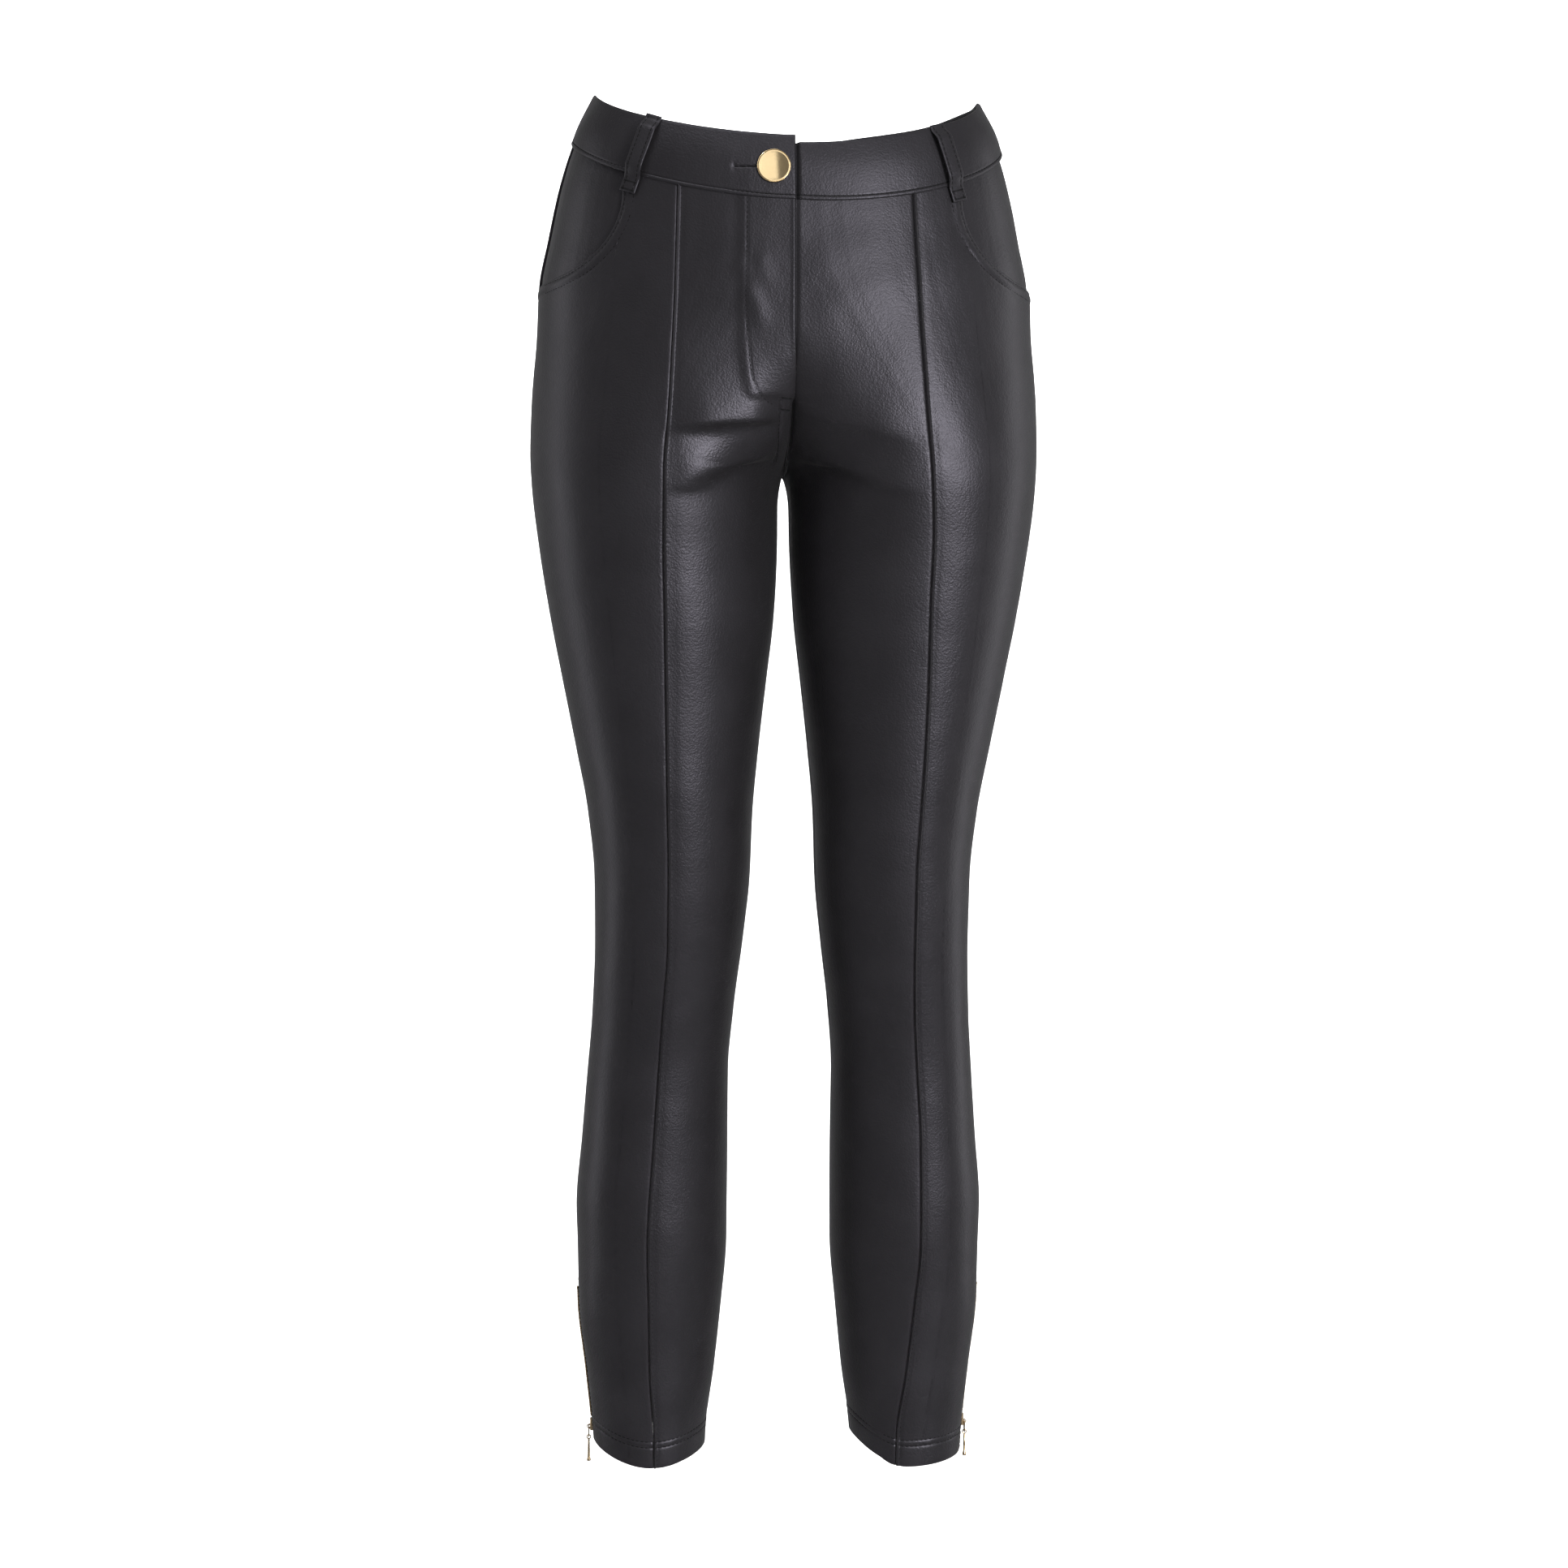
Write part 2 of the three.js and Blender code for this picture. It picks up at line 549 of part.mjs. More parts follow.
function bandStrip(side, places, out) {
  const heights = (place) => bandHeights(place.side ?? side, place.at, side);
  return clothWall(side, places, heights, out, band.thickness);
}

function bandBack() {
  const half = (side) => evenShares(backColumns).map((share) => (
    { side, at: alongPanel('back', share, halfGap, 0) }
  ));
  const places = [...half(sides.left), ...half(sides.right).reverse().slice(1)];
  return bandStrip(sides.left, places, band.outside);
}

// Places along the front of the band, over the panels' own, from a share of the centre panel
function bandPlaces(side, from) {
  const centre = evenShares(centreColumns).filter((share) => share >= from);
  return [
    ...centre.map((share) => ({ at: alongPanel('centre', share, 0, 0), out: band.outside })),
    ...sideShares(side).slice(1).map(({ share }) => ({
      at: alongPanel('side', share, 0, halfGap), out: band.outside,
    })),
  ];
}

function bandRight() {
  return cutButtonhole(bandStrip(sides.right, bandPlaces(sides.right, 0), band.outside));
}

// The left band goes under the right one at the centre, where its underlap carries the button
function bandLeft() {
  const under = band.outside - band.thickness - seamGap;
  const places = [band.underlap, 22, 11, 0.5].map((distance) => ({
    side: sides.right, at: fromCentreFront(distance), out: under,
  }));
  const step = [0.5, 2.5, band.stepWidth];
  places.push(...step.map((distance) => ({
    at: fromCentreFront(distance),
    out: THREE.MathUtils.mapLinear(distance, step[0], band.stepWidth, under, band.outside),
  })));
  places.push(...bandPlaces(sides.left, 1 / centreColumns));
  return bandStrip(sides.left, places, (place) => place.out);
}

function toSolid(geometry) {
  const bare = geometry.clone();
  bare.deleteAttribute('normal');
  bare.deleteAttribute('uv');
  const merged = mergeVertices(bare, 1e-4);
  return new wasm.Manifold(new wasm.Mesh({
    numProp: 3,
    vertProperties: new Float32Array(merged.attributes.position.array),
    triVerts: new Uint32Array(merged.index.array),
  }));
}

function toGeometry(solid) {
  const mesh = solid.getMesh();
  const geometry = new THREE.BufferGeometry();
  geometry.setAttribute('position', new THREE.BufferAttribute(new Float32Array(mesh.vertProperties), 3));
  geometry.setIndex(new THREE.BufferAttribute(new Uint32Array(mesh.triVerts), 1));
  return geometry;
}

// The button's axis leaves the cloth at its own slope
function buttonSeat() {
  const at = fromCentreFront(button.fromEdge);
  const point = clothPoint(sides.right, at, button.z);
  return { point, normal: clothNormal(sides.right, at, button.z) };
}

function cutButtonhole(geometry) {
  const { point, normal } = buttonSeat();
  const shape = new THREE.Shape();
  shape.absarc(0, 0, buttonhole.eyeRadius, -Math.PI + 0.27, Math.PI - 0.27, false);
  shape.lineTo(-buttonhole.length, buttonhole.slit / 2);
  shape.lineTo(-buttonhole.length, -buttonhole.slit / 2);
  const cutter = new THREE.ExtrudeGeometry(shape, { depth: 12, bevelEnabled: false, curveSegments: 12 });
  cutter.translate(0, 0, -6);
  cutter.applyMatrix4(facing(point, normal));
  return toGeometry(toSolid(geometry).subtract(toSolid(cutter)));
}

// Turns local +Z to a direction, keeping local +X level and towards the wearer's left
function facing(point, direction) {
  const up = new THREE.Vector3(0, 0, 1);
  const xAxis = new THREE.Vector3().crossVectors(up, direction).normalize();
  const yAxis = new THREE.Vector3().crossVectors(direction, xAxis);
  return new THREE.Matrix4().makeBasis(xAxis, yAxis, direction).setPosition(point);
}

function shankButton() {
  const base = band.outside + 0.5;
  const foot = band.outside - band.thickness;
  const edge = base + 1.4;
  const profile = [
    [0, foot], [button.shankRadius, foot], [button.shankRadius, base], [button.radius - 1, base],
    [button.radius, base + 0.6], [button.radius, edge], [button.radius - 0.8, edge + button.rimHeight],
    [button.radius - 1.6, edge + button.rimHeight * 0.4],
    [button.radius * 0.55, base + 2 + button.domeHeight], [0, base + 2.2 + button.domeHeight],
  ].map(([radius, height]) => new THREE.Vector2(radius, height));
  const geometry = new THREE.LatheGeometry(profile, 28);
  geometry.rotateX(Math.PI / 2);
  const { point, normal } = buttonSeat();
  geometry.applyMatrix4(facing(point, normal));
  return geometry;
}

function beltLoop({ side: sideName, face, x, lean }) {
  const side = sides[sideName];
  const reach = (share) => x - lean * share;
  const middlePlace = (share) => (outline) => distanceAtX(outline, reach(share), face);
  const seamHeight = waistSeamHeight(side, middlePlace(0.3));
  const top = seamHeight + bandHeight(side, middlePlace(0.8)) - 1;
  const low = seamHeight - loop.below;
  // share of the height, and the share of the stand-off there
  const profile = [
    [0, 0], [0.2, 0.04], [0.27, 0.95], [0.4, 1], [0.7, 1], [0.88, 0.95], [0.94, 0.04], [1, 0],
  ];
  const columns = [-0.5, 0, 0.5];
  const point = (share, across, stand, depth) => {
    const z = THREE.MathUtils.lerp(low, top, share);
    let place = (outline) => distanceAtX(outline, reach(share), face) + across * loop.width;
    let half = side;
    if (face === 'back' && x === 0) {
      half = across < 0 ? sides.right : sides.left;
      place = fromCentreBack(Math.abs(across) * loop.width);
    }
    return clothPoint(half, place, z, band.outside + loop.seated + stand * loop.standOff + depth);
  };
  const rows = [...profile].reverse();
  const order = face === 'back' && x === 0 ? [...columns].reverse() : columns;
  const grid = (depth) => rows.map(([share, stand]) => (
    order.map((across) => point(share, across, stand, depth))
  ));
  return wall(grid(loop.thickness), grid(0), side.sign);
}

function zipTape(side) {
  const places = [-0.5, -0.17, 0.17, 0.5].map((share) => ({ at: fromSideSeam(share * tape.width) }));
  const hem = hemHeight(side, fromSideSeam(0)) + 1;
  const heights = () => evenShares(8).map((share) => THREE.MathUtils.lerp(zip.top + 6, hem, share));
  return clothWall(side, places, heights, -cloth - tape.clearance, tape.thickness);
}

function zipChain(side) {
  const places = [-0.5, 0.5].map((share) => ({ at: fromSideSeam(share * zip.chainWidth) }));
  const end = slider.z + slider.length / 2 + seamGap;
  const heights = () => evenShares(6).map((share) => THREE.MathUtils.lerp(zip.top - 1, end, share));
  return clothWall(side, places, heights, zip.chainProud, cloth + zip.chainProud);
}

// A frame on the ankle zip: +X out of the cloth, +Y towards the back, +Z up, at the slider
function sliderFrame(side) {
  const point = clothPoint(side, fromSideSeam(0), slider.z);
  const group = new THREE.Group();
  group.position.copy(point);
  if (side.sign < 0) group.rotation.z = Math.PI;
  return group;
}

function sliderBody() {
  const back = -cloth;
  const front = zip.chainProud;
  const plate = front + slider.plateThickness;
  const core = slider.coreWidth / 2;
  const wide = slider.plateWidth / 2;
  const outline = new THREE.Shape([
    [back, -core], [front, -core], [front, -wide], [plate - 0.4, -wide], [plate, -wide + 0.5],
    [plate, wide - 0.5], [plate - 0.4, wide], [front, wide], [front, core], [back, core],
  ].map(([x, y]) => new THREE.Vector2(x, y)));
  const body = new THREE.ExtrudeGeometry(outline, { depth: slider.length, bevelEnabled: false });
  body.translate(0, 0, -slider.length / 2);

  const arch = new THREE.Shape();
  arch.moveTo(plate - 0.3, bail.radius * 1.5);
  arch.lineTo(bail.out, bail.radius);
  arch.absarc(bail.out, 0, bail.radius, Math.PI / 2, -Math.PI / 2, true);
  arch.lineTo(plate - 0.3, -bail.radius * 1.5);
  const around = evenShares(16).slice(1).map((share) => share * Math.PI * 2);
  arch.holes.push(new THREE.Path(around.map((angle) => (
    new THREE.Vector2(bail.out + bail.hole * Math.cos(angle), bail.hole * Math.sin(angle))
  ))));
  const shell = { depth: bail.width, bevelEnabled: false, curveSegments: 8 };
  const archBody = new THREE.ExtrudeGeometry(arch, shell);
  archBody.rotateX(Math.PI / 2);
  archBody.translate(0, bail.width / 2, -bail.down);
  return toGeometry(toSolid(body).add(toSolid(archBody)));
}

// The link hangs by its top bar in the bail, and its bottom bar carries the drop
function pullLink() {
  const ring = (shrink) => {
    const top = link.topWidth / 2 - shrink;
    const bottom = link.bottomWidth / 2 - shrink;
    const high = link.wire / 2 - shrink;
    const low = -link.length - link.wire / 2 + shrink;
    const corner = 0.3;
    return [
      [-top, high - corner], [-bottom, low + corner], [-bottom + corner, low], [bottom - corner, low],
      [bottom, low + corner], [top, high - corner], [top - corner, high], [-top + corner, high],
    ].map(([x, y]) => new THREE.Vector2(x, y));
  };
  const outline = new THREE.Shape(ring(0));
  outline.holes.push(new THREE.Path(ring(link.wire)));
  const geometry = new THREE.ExtrudeGeometry(outline, { depth: link.wire, bevelEnabled: false });
  geometry.translate(0, 0, -link.wire / 2);
  geometry.rotateX(Math.PI / 2);
  geometry.rotateZ(Math.PI / 2);
  return geometry;
}

function pullDrop() {
  const ring = new THREE.TorusGeometry(drop.ringRadius, drop.ringWire, 8, 16);
  ring.rotateX(Math.PI / 2);
  const low = -drop.length;
  const flareTop = low + 3.2;
  const shaft = new THREE.LatheGeometry([
    [0, low], [drop.flare * 0.7, low], [drop.flare, low + 0.5], [drop.flare * 0.95, low + 1.6],
    [drop.shaftBottom, flareTop], [drop.shaftTop, -drop.ringRadius - 0.1], [0, -drop.ringRadius - 0.1],
  ].map(([radius, height]) => new THREE.Vector2(radius, height)), 12);
  shaft.rotateX(Math.PI / 2);
  return toGeometry(toSolid(ring).add(toSolid(shaft)));
}

const trousers = new THREE.Group();

function add(name, geometry, finish, parent = trousers) {
  const mesh = new THREE.Mesh(geometry, new THREE.MeshStandardMaterial(finishes[finish]));
  mesh.name = name;
  parent.add(mesh);
  return mesh;
}

for (const side of [sides.right, sides.left]) {
  add(`front_centre_${side.name}`, frontCentre(side), 'leather');
  add(`front_side_${side.name}`, frontSide(side), 'leather');
  add(`back_${side.name}`, backPanel(side), 'leather');
  add(`pocket_facing_${side.name}`, pocketFacing(side), 'leather');
}
add('fly_shield', flyShieldWall(), 'leather');
add('waistband_right', bandRight(), 'leather');
add('waistband_left', bandLeft(), 'leather');
add('waistband_back', bandBack(), 'leather');
for (const beltLoopRow of beltLoops) add(beltLoopRow.name, beltLoop(beltLoopRow), 'leather');
add('button', shankButton(), 'gold');

for (const side of [sides.right, sides.left]) {
  add(`zip_tape_${side.name}`, zipTape(side), 'tape');
  add(`zip_chain_${side.name}`, zipChain(side), 'gold');
  const frame = sliderFrame(side);
  trousers.add(frame);
  add(`zip_slider_${side.name}`, sliderBody(), 'gold', frame);
  const linkMesh = add(`pull_link_${side.name}`, pullLink(), 'gold', frame);
  linkMesh.position.set(bail.out, 0, -bail.down);
  const dropMesh = add(`pull_drop_${side.name}`, pullDrop(), 'gold', frame);
  dropMesh.position.set(bail.out, 0, -bail.down - link.length);
}

export default trousers;
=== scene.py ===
import math

import bpy
import numpy as np
from mathutils import Matrix, Vector, noise


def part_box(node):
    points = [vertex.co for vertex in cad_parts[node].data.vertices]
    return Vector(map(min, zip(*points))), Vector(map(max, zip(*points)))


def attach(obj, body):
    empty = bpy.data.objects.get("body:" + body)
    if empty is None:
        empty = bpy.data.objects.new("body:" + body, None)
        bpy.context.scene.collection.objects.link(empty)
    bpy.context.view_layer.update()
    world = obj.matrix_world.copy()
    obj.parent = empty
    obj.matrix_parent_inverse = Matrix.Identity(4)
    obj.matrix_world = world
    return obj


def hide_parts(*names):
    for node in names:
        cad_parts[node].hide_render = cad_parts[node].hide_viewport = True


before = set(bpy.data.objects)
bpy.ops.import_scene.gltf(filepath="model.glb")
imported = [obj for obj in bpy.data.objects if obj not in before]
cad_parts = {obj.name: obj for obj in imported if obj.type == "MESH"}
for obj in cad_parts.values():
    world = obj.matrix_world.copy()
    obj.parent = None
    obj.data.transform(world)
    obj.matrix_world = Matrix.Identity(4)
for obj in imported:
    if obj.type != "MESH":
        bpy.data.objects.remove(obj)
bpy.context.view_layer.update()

print("frame loaded")

# Lengths are millimetres, with +Z up, the front towards -Y and the wearer's left at +X. They
# become metres in makeMesh.
mm = 0.001

view = {
    "height": -438,       # level, in line with the knees
    "distance": 2200,
    "turn": 4.0,          # degrees towards the wearer's right
    "lens": 72.69,
    "sensor": 36,
    "farthest": 50,       # metres
}


def makeCamera():
    turn = math.radians(view["turn"])
    ahead = Vector((math.sin(turn), math.cos(turn), 0))
    lens = bpy.data.cameras.new("camera")
    lens.lens, lens.sensor_width, lens.clip_end = view["lens"], view["sensor"], view["farthest"]
    camera = bpy.data.objects.new("camera", lens)
    camera.location = (Vector((0, 0, view["height"])) - ahead * view["distance"]) * mm
    camera.rotation_euler = ahead.to_track_quat("-Z", "Y").to_euler()
    bpy.context.collection.objects.link(camera)
    bpy.context.scene.camera = camera


makeCamera()
print("camera placed")

# The body that the cloth fills out, in sections from the waist down. outer is the side seam from
# the centre line, front and back are the fullest points, middle is the widest line, and the
# crests are where each face is fullest.
bodyCut = """
    z     outer  front  back  middle  crestFront  crestBack
    60    122    -99    62    -18     0           0
    25    135.2  -104   71    -16     0           0
    0     147.2  -108   79    -14     0           0
    -30   156.5  -112   88    -11     0           12
    -63   163.7  -114   98    -7      0           26
    -96   170    -114   106   -4      6           40
    -130  171.4  -111   112   -1      26          52
    -175  175    -106   114   2       58          66
    -209  176    -101   111   4       78          78
    -231  175    -98    107   5       86          84
    -276  169.6  -88    98    6       88          87
    -321  162.3  -79    92    7       86          85
    -367  153.4  -69    87    9       84          83
    -412  144.4  -60    84    12      82          81
    -457  136    -51    80    15      80          79
    -503  131.5  -41    80    20      79          77
    -548  131    -30    83    26      81          79
    -595  132.6  -18    90    35      85          83
    -641  136.1  -8     99    45      89          86
    -688  139.9  -2     111   54      91          88
    -736  143.7  3      117   60      93          90
    -760  143    6      117   62      93          90
    -806  141.9  13     115   64      93          91
    -853  136.5  21     113   67      91          91
    -901  131.5  27     112   69      90          91
    -940  129    30     112   70      90          91
"""

# Below the crotch, inner is each leg's innermost line from the centre line. The seams are the
# front leg seams, and inseam is how far round to the front of the innermost line it lies.
legCut = """
    z     inner  seamRight  seamLeft  inseam
    60    0      78         78        0
    -25   0      78         78        0
    -110  0      80         82        0
    -190  0      84         88        0
    -231  3.7    87         92        0
    -276  4.4    87         94        2
    -321  6.8    86         93        3
    -367  11.9   85         93        4
    -412  17     84         92        5
    -457  21     83         90        6
    -503  22.8   82         88        6
    -548  27.4   82         88        5
    -595  33.1   85         89        4
    -641  36.6   88         92        3
    -688  36.5   91         95        2
    -760  36.9   95         96        2
    -806  40.7   94         92        2
    -853  45.5   93         87        2
    -901  51.8   90         81        2
    -940  53     90         81        2
"""

crotch = {
    "y": 14, "z": -224,
    "frontRise": 98, "backRise": 120, "curve": 2.1,      # the rise up from it, to front and back
    "closing": 3, "settling": 90,      # how soon below it each leg closes, and finds its inseam
}
# how round each quarter of an outline is; 2 is an ellipse
roundness = {"frontInner": 2, "frontOuter": 2.25, "backOuter": 2.15, "backInner": 2}
quarterSteps = 20
widest = 2 * quarterSteps + 1     # which point of an outline lies on the side seam


def readRows(text):
    names, *lines = [line.split() for line in text.strip().splitlines()]
    return [{name: word if word.isalpha() else float(word) for name, word in zip(names, line)}
            for line in lines]


def readTable(text):
    rows = sorted(readRows(text), key=lambda row: row["z"])
    return {name: np.array([row[name] for row in rows]) for name in rows[0]}


def curveThrough(table, name):
    # a smooth curve through a column, with no overshoot between its rows
    z, value = table["z"], table[name]
    span = np.diff(z)
    slope = np.diff(value) / span
    before, after = slope[:-1], slope[1:]
    turning = before * after <= 0
    inside = np.where(turning, 0, 2 * before * after / np.where(turning, 1, before + after))
    tangent = np.concatenate([slope[:1], inside, slope[-1:]])

    def at(height):
        h = np.clip(height, z[0], z[-1])
        i = np.clip(np.searchsorted(z, h) - 1, 0, len(z) - 2)
        t = (h - z[i]) / span[i]
        t2, t3 = t * t, t * t * t
        return ((2 * t3 - 3 * t2 + 1) * value[i] + (t3 - 2 * t2 + t) * span[i] * tangent[i]
                + (3 * t2 - 2 * t3) * value[i + 1] + (t3 - t2) * span[i] * tangent[i + 1])

    return at


bodyTable, legTable = readTable(bodyCut), readTable(legCut)
outerAt, frontAt, backAt, middleAt = (
    curveThrough(bodyTable, name) for name in ("outer", "front", "back", "middle"))
crestFrontAt, crestBackAt = (curveThrough(bodyTable, name) for name in ("crestFront", "crestBack"))
innerAt, inseamAt = (curveThrough(legTable, name) for name in ("inner", "inseam"))

right = {
    "name": "right", "sign": -1, "seamAt": curveThrough(legTable, "seamRight"),
    "hem": {"outer": -905, "inner": -908, "front": -918.5, "back": -902},
    "weltOn": "centre",      # which panel carries the raised welt of the front leg seam
}
left = {
    "name": "left", "sign": 1, "seamAt": curveThrough(legTable, "seamLeft"),
    "hem": {"outer": -915, "inner": -901, "front": -920, "back": -902},
    "weltOn": "side",
}
cloth = {
    "thickness": 1.4, "hemExtra": 1.0, "seamGap": 0.04,
    "thinning": 0.3,      # share of a groove's depth that the cloth is thinned by
    "rowStep": 2.9, "fineStep": 1.35, "columnStep": 3.0,
}
halfGap = cloth["seamGap"] / 2


def smooth(value, low, high):
    t = np.clip((value - low) / (high - low), 0, 1)
    return t * t * (3 - 2 * t)


def mix(a, b, share):
    return a + (b - a) * share


def bell(value, centre, width):
    return np.exp(-((value - centre) / width) ** 2)


def riseShare(z, rise):
    up = np.clip((z - crotch["z"]) / rise, 0, 1)
    return (1 - (1 - up) ** crotch["curve"]) ** (1 / crotch["curve"])


def quarter(fromX, fromY, toX, toY, power):
    angle = np.linspace(0, math.pi / 2, quarterSteps + 1)
    across = 1 - np.maximum(np.cos(angle), 0) ** (2 / power)
    along = np.sin(angle) ** (2 / power)
    return (fromX[:, None] + (toX - fromX)[:, None] * across,
            fromY[:, None] + (toY - fromY)[:, None] * along)


def outlineAt(side, z):
    # the outline of one side at each height, from the centre front or inseam round by the side
    z = np.atleast_1d(np.asarray(z, float))
    below = np.maximum(0, crotch["z"] - z)
    closed = below > 0
    inner = halfGap + np.maximum(0, innerAt(z) - halfGap) * (1 - np.exp(-below / crotch["closing"]))
    outer, front, back, middle = outerAt(z), frontAt(z), backAt(z), middleAt(z)
    crestFront = np.maximum(inner, crestFrontAt(z))
    crestBack = np.maximum(inner, crestBackAt(z))
    innermost = mix(crotch["y"], middle, smooth(below, 0, crotch["settling"]))
    startY, endY = (
        np.where(closed, innermost, mix(crotch["y"], face, riseShare(z, crotch[rise])))
        for face, rise in ((front, "frontRise"), (back, "backRise")))
    parts = [
        (quarter(inner, startY, crestFront, front, roundness["frontInner"]), 1),
        (quarter(outer, middle, crestFront, front, roundness["frontOuter"]), -1),
        (quarter(outer, middle, crestBack, back, roundness["backOuter"]), 1),
        (quarter(inner, endY, crestBack, back, roundness["backInner"]), -1),
    ]
    x = np.concatenate([points[0][:, ::way] for points, way in parts], axis=1)
    y = np.concatenate([points[1][:, ::way] for points, way in parts], axis=1)
    steps = np.hypot(np.diff(x, axis=1), np.diff(y, axis=1))
    length = np.concatenate([np.zeros((len(x), 1)), np.cumsum(steps, axis=1)], axis=1)
    total = length[:, -1]
    start = np.where(closed, inseamAt(z), 0)
    outline = {"x": x, "y": y, "z": z, "length": length, "total": total, "closed": closed,
               "front": np.zeros(len(z)), "start": start, "end": total + start,
               "side": length[:, widest]}
    outline["legSeam"] = distanceAtX(outline, side["seamAt"](z), "front")
    return outline


def distanceAtX(outline, x, face):
    chosen = slice(0, widest + 1) if face == "front" else slice(None, widest - 1, -1)
    xs, lengths = outline["x"][:, chosen], outline["length"][:, chosen]
    x = np.broadcast_to(x, (len(xs),))
    k = np.clip((xs < x[:, None]).sum(axis=1), 1, xs.shape[1] - 1)
    row = np.arange(len(xs))
    run = xs[row, k] - xs[row, k - 1]
    share = np.clip((x - xs[row, k - 1]) / np.where(run > 0, run, 1), 0, 1)
    return mix(lengths[row, k - 1], lengths[row, k], share)


def pointsOn(side, outline, distance):
    total, length = outline["total"], outline["length"]
    along = np.where(outline["closed"] & (distance > total), distance - total, distance)
    along = np.where(outline["closed"] & (along < 0), along + total, along)
    along = np.clip(along, 0, total)
    k = np.clip((length <= along[:, None]).sum(axis=1) - 1, 0, length.shape[1] - 2)
    row = np.arange(len(k))
    step = length[row, k + 1] - length[row, k]
    share = np.where(step > 0, (along - length[row, k]) / np.where(step > 0, step, 1), 0)
    x, y = (mix(outline[name][row, k], outline[name][row, k + 1], share) for name in "xy")
    return np.stack([side["sign"] * x, y, outline["z"]], axis=1)


probe = {"up": 1.5, "along": 1.2}      # how far off the cloth is felt, to find the way it faces


def bareCloth(side, place, z):
    # points on the cloth and the way it faces; place gives the distance along each outline
    here, high, low = (outlineAt(side, z + d) for d in (0, probe["up"], -probe["up"]))
    distance = place(here)
    across = (pointsOn(side, here, distance + probe["along"])
              - pointsOn(side, here, distance - probe["along"]))
    up = pointsOn(side, high, place(high)) - pointsOn(side, low, place(low))
    facing = np.cross(across, up) * side["sign"]
    return pointsOn(side, here, distance), facing / np.linalg.norm(facing, axis=1)[:, None]


# The folds, each from one place to another on the front or back. Ridges stand up and troughs are
# below zero; above and below are how far each one's upper and lower flank runs out, and a low
# crest is sharp.
foldCut = """
    face   fromX  fromZ  toX   toZ   height  above  below   crest
    front  -14    -194   -81   -201  4.1     19     3.4     1.4
    front  -9     -199   -79   -207  -2.4    3      8       2
    front  -12    -213   -82   -240  3.2     14     3.6     1.4
    front  -8     -219   -76   -246  -2.2    3      10      2
    front  10     -191   84    -211  2.0     16     6       1.4
    front  4      -199   80    -218  -1.2    6      9       2
    front  6      -216   78    -241  2.0     13     4       1.4
    front  2      -221   72    -247  -1.9    3.5    9       2
    front  4      -98    78    -70   1.0     13     13      2
    front  4      -134   84    -98   1.1     14     14      2
    front  -31    -108   -20   -140  0.9     5      5       2
    front  -24    -88    -18   -112  0.6     5      5       2
    front  -40    -92    -27   -108  0.5     5      6       2
    back   -10    -206   -96   -232  -2.4    10     10      2
    back   12     -208   92    -236  -2.2    10     10      2
    back   -14    -222   -88   -252  1.5     8      12      2
    back   16     -224   86    -256  1.4     8      12      2
    back   -50    -520   -112  -534  -2.4    12     12      2
    back   48     -528   108   -518  -2.2    12     12      2
    back   -56    -562   -108  -556  -1.8    12     12      2
    back   54     -566   106   -572  -2.0    12     12      2
"""
folds = readRows(foldCut)
foldRun = {"start": (-0.1, 0.22), "end": (0.6, 1.15), "widening": 0.5}      # shares of its length
unevenness = {"height": 0.55, "size": 55, "fineHeight": 0.16, "fineSize": 17, "shift": 7.3}
# folds and unevenness fade out towards the side seams and inseams
sideFade = {"from": 4, "to": 30, "least": 0.25}


def foldHeight(point, face):
    height = np.zeros(len(point))
    for fold in folds:
        if fold["face"] != face:
            continue
        runX, runZ = fold["toX"] - fold["fromX"], fold["toZ"] - fold["fromZ"]
        length = math.hypot(runX, runZ)
        way = 1 if runX > 0 else -1
        fromX, fromZ = point[:, 0] - fold["fromX"], point[:, 2] - fold["fromZ"]
        share = (fromX * runX + fromZ * runZ) / length ** 2
        over = (fromZ * runX - fromX * runZ) / length * way
        width = np.where(over > 0, fold["above"], fold["below"])
        width = width * (1 + foldRun["widening"] * np.clip(share, 0, 1))
        fade = smooth(share, *foldRun["start"]) * (1 - smooth(share, *foldRun["end"]))
        height += fold["height"] * fade * np.exp(-(np.abs(over) / width) ** fold["crest"])
    return height


def unevenHeight(point):
    look = unevenness
    coarse = np.array([noise.noise(Vector(p)) for p in point / look["size"]])
    fine = np.array([noise.noise(Vector(p)) for p in point / look["fineSize"] + look["shift"]])
    return look["height"] * coarse + look["fineHeight"] * fine


def clothAt(side, place, z, out=0):
    # points of the finished cloth's outer face, moved out by a distance, and the way it faces
    point, facing = bareCloth(side, place, z)
    middle = middleAt(z)
    edge = smooth(np.abs(point[:, 1] - middle), sideFade["from"], sideFade["to"])
    front = point[:, 1] < middle
    fold = np.where(front, foldHeight(point, "front"), foldHeight(point, "back"))
    lift = out + edge * fold + unevenHeight(point) * mix(sideFade["least"], 1, edge)
    return point + facing * lift[:, None], facing


# A column is where a line down the cloth lies: a share of the way from one seam to another, and
# mm on from there.
seamNames = ("front", "start", "legSeam", "side", "end")
panelEnds = {"centre": ("start", "legSeam"), "side": ("legSeam", "side"), "back": ("side", "end")}


def onPanel(panel, share, offset=0):
    return (*panelEnds[panel], share, offset)


def fromSeam(name, distance):
    # name is front for the centre front, side for the side seam, or end for the centre back
    return (name, name, 0, distance)


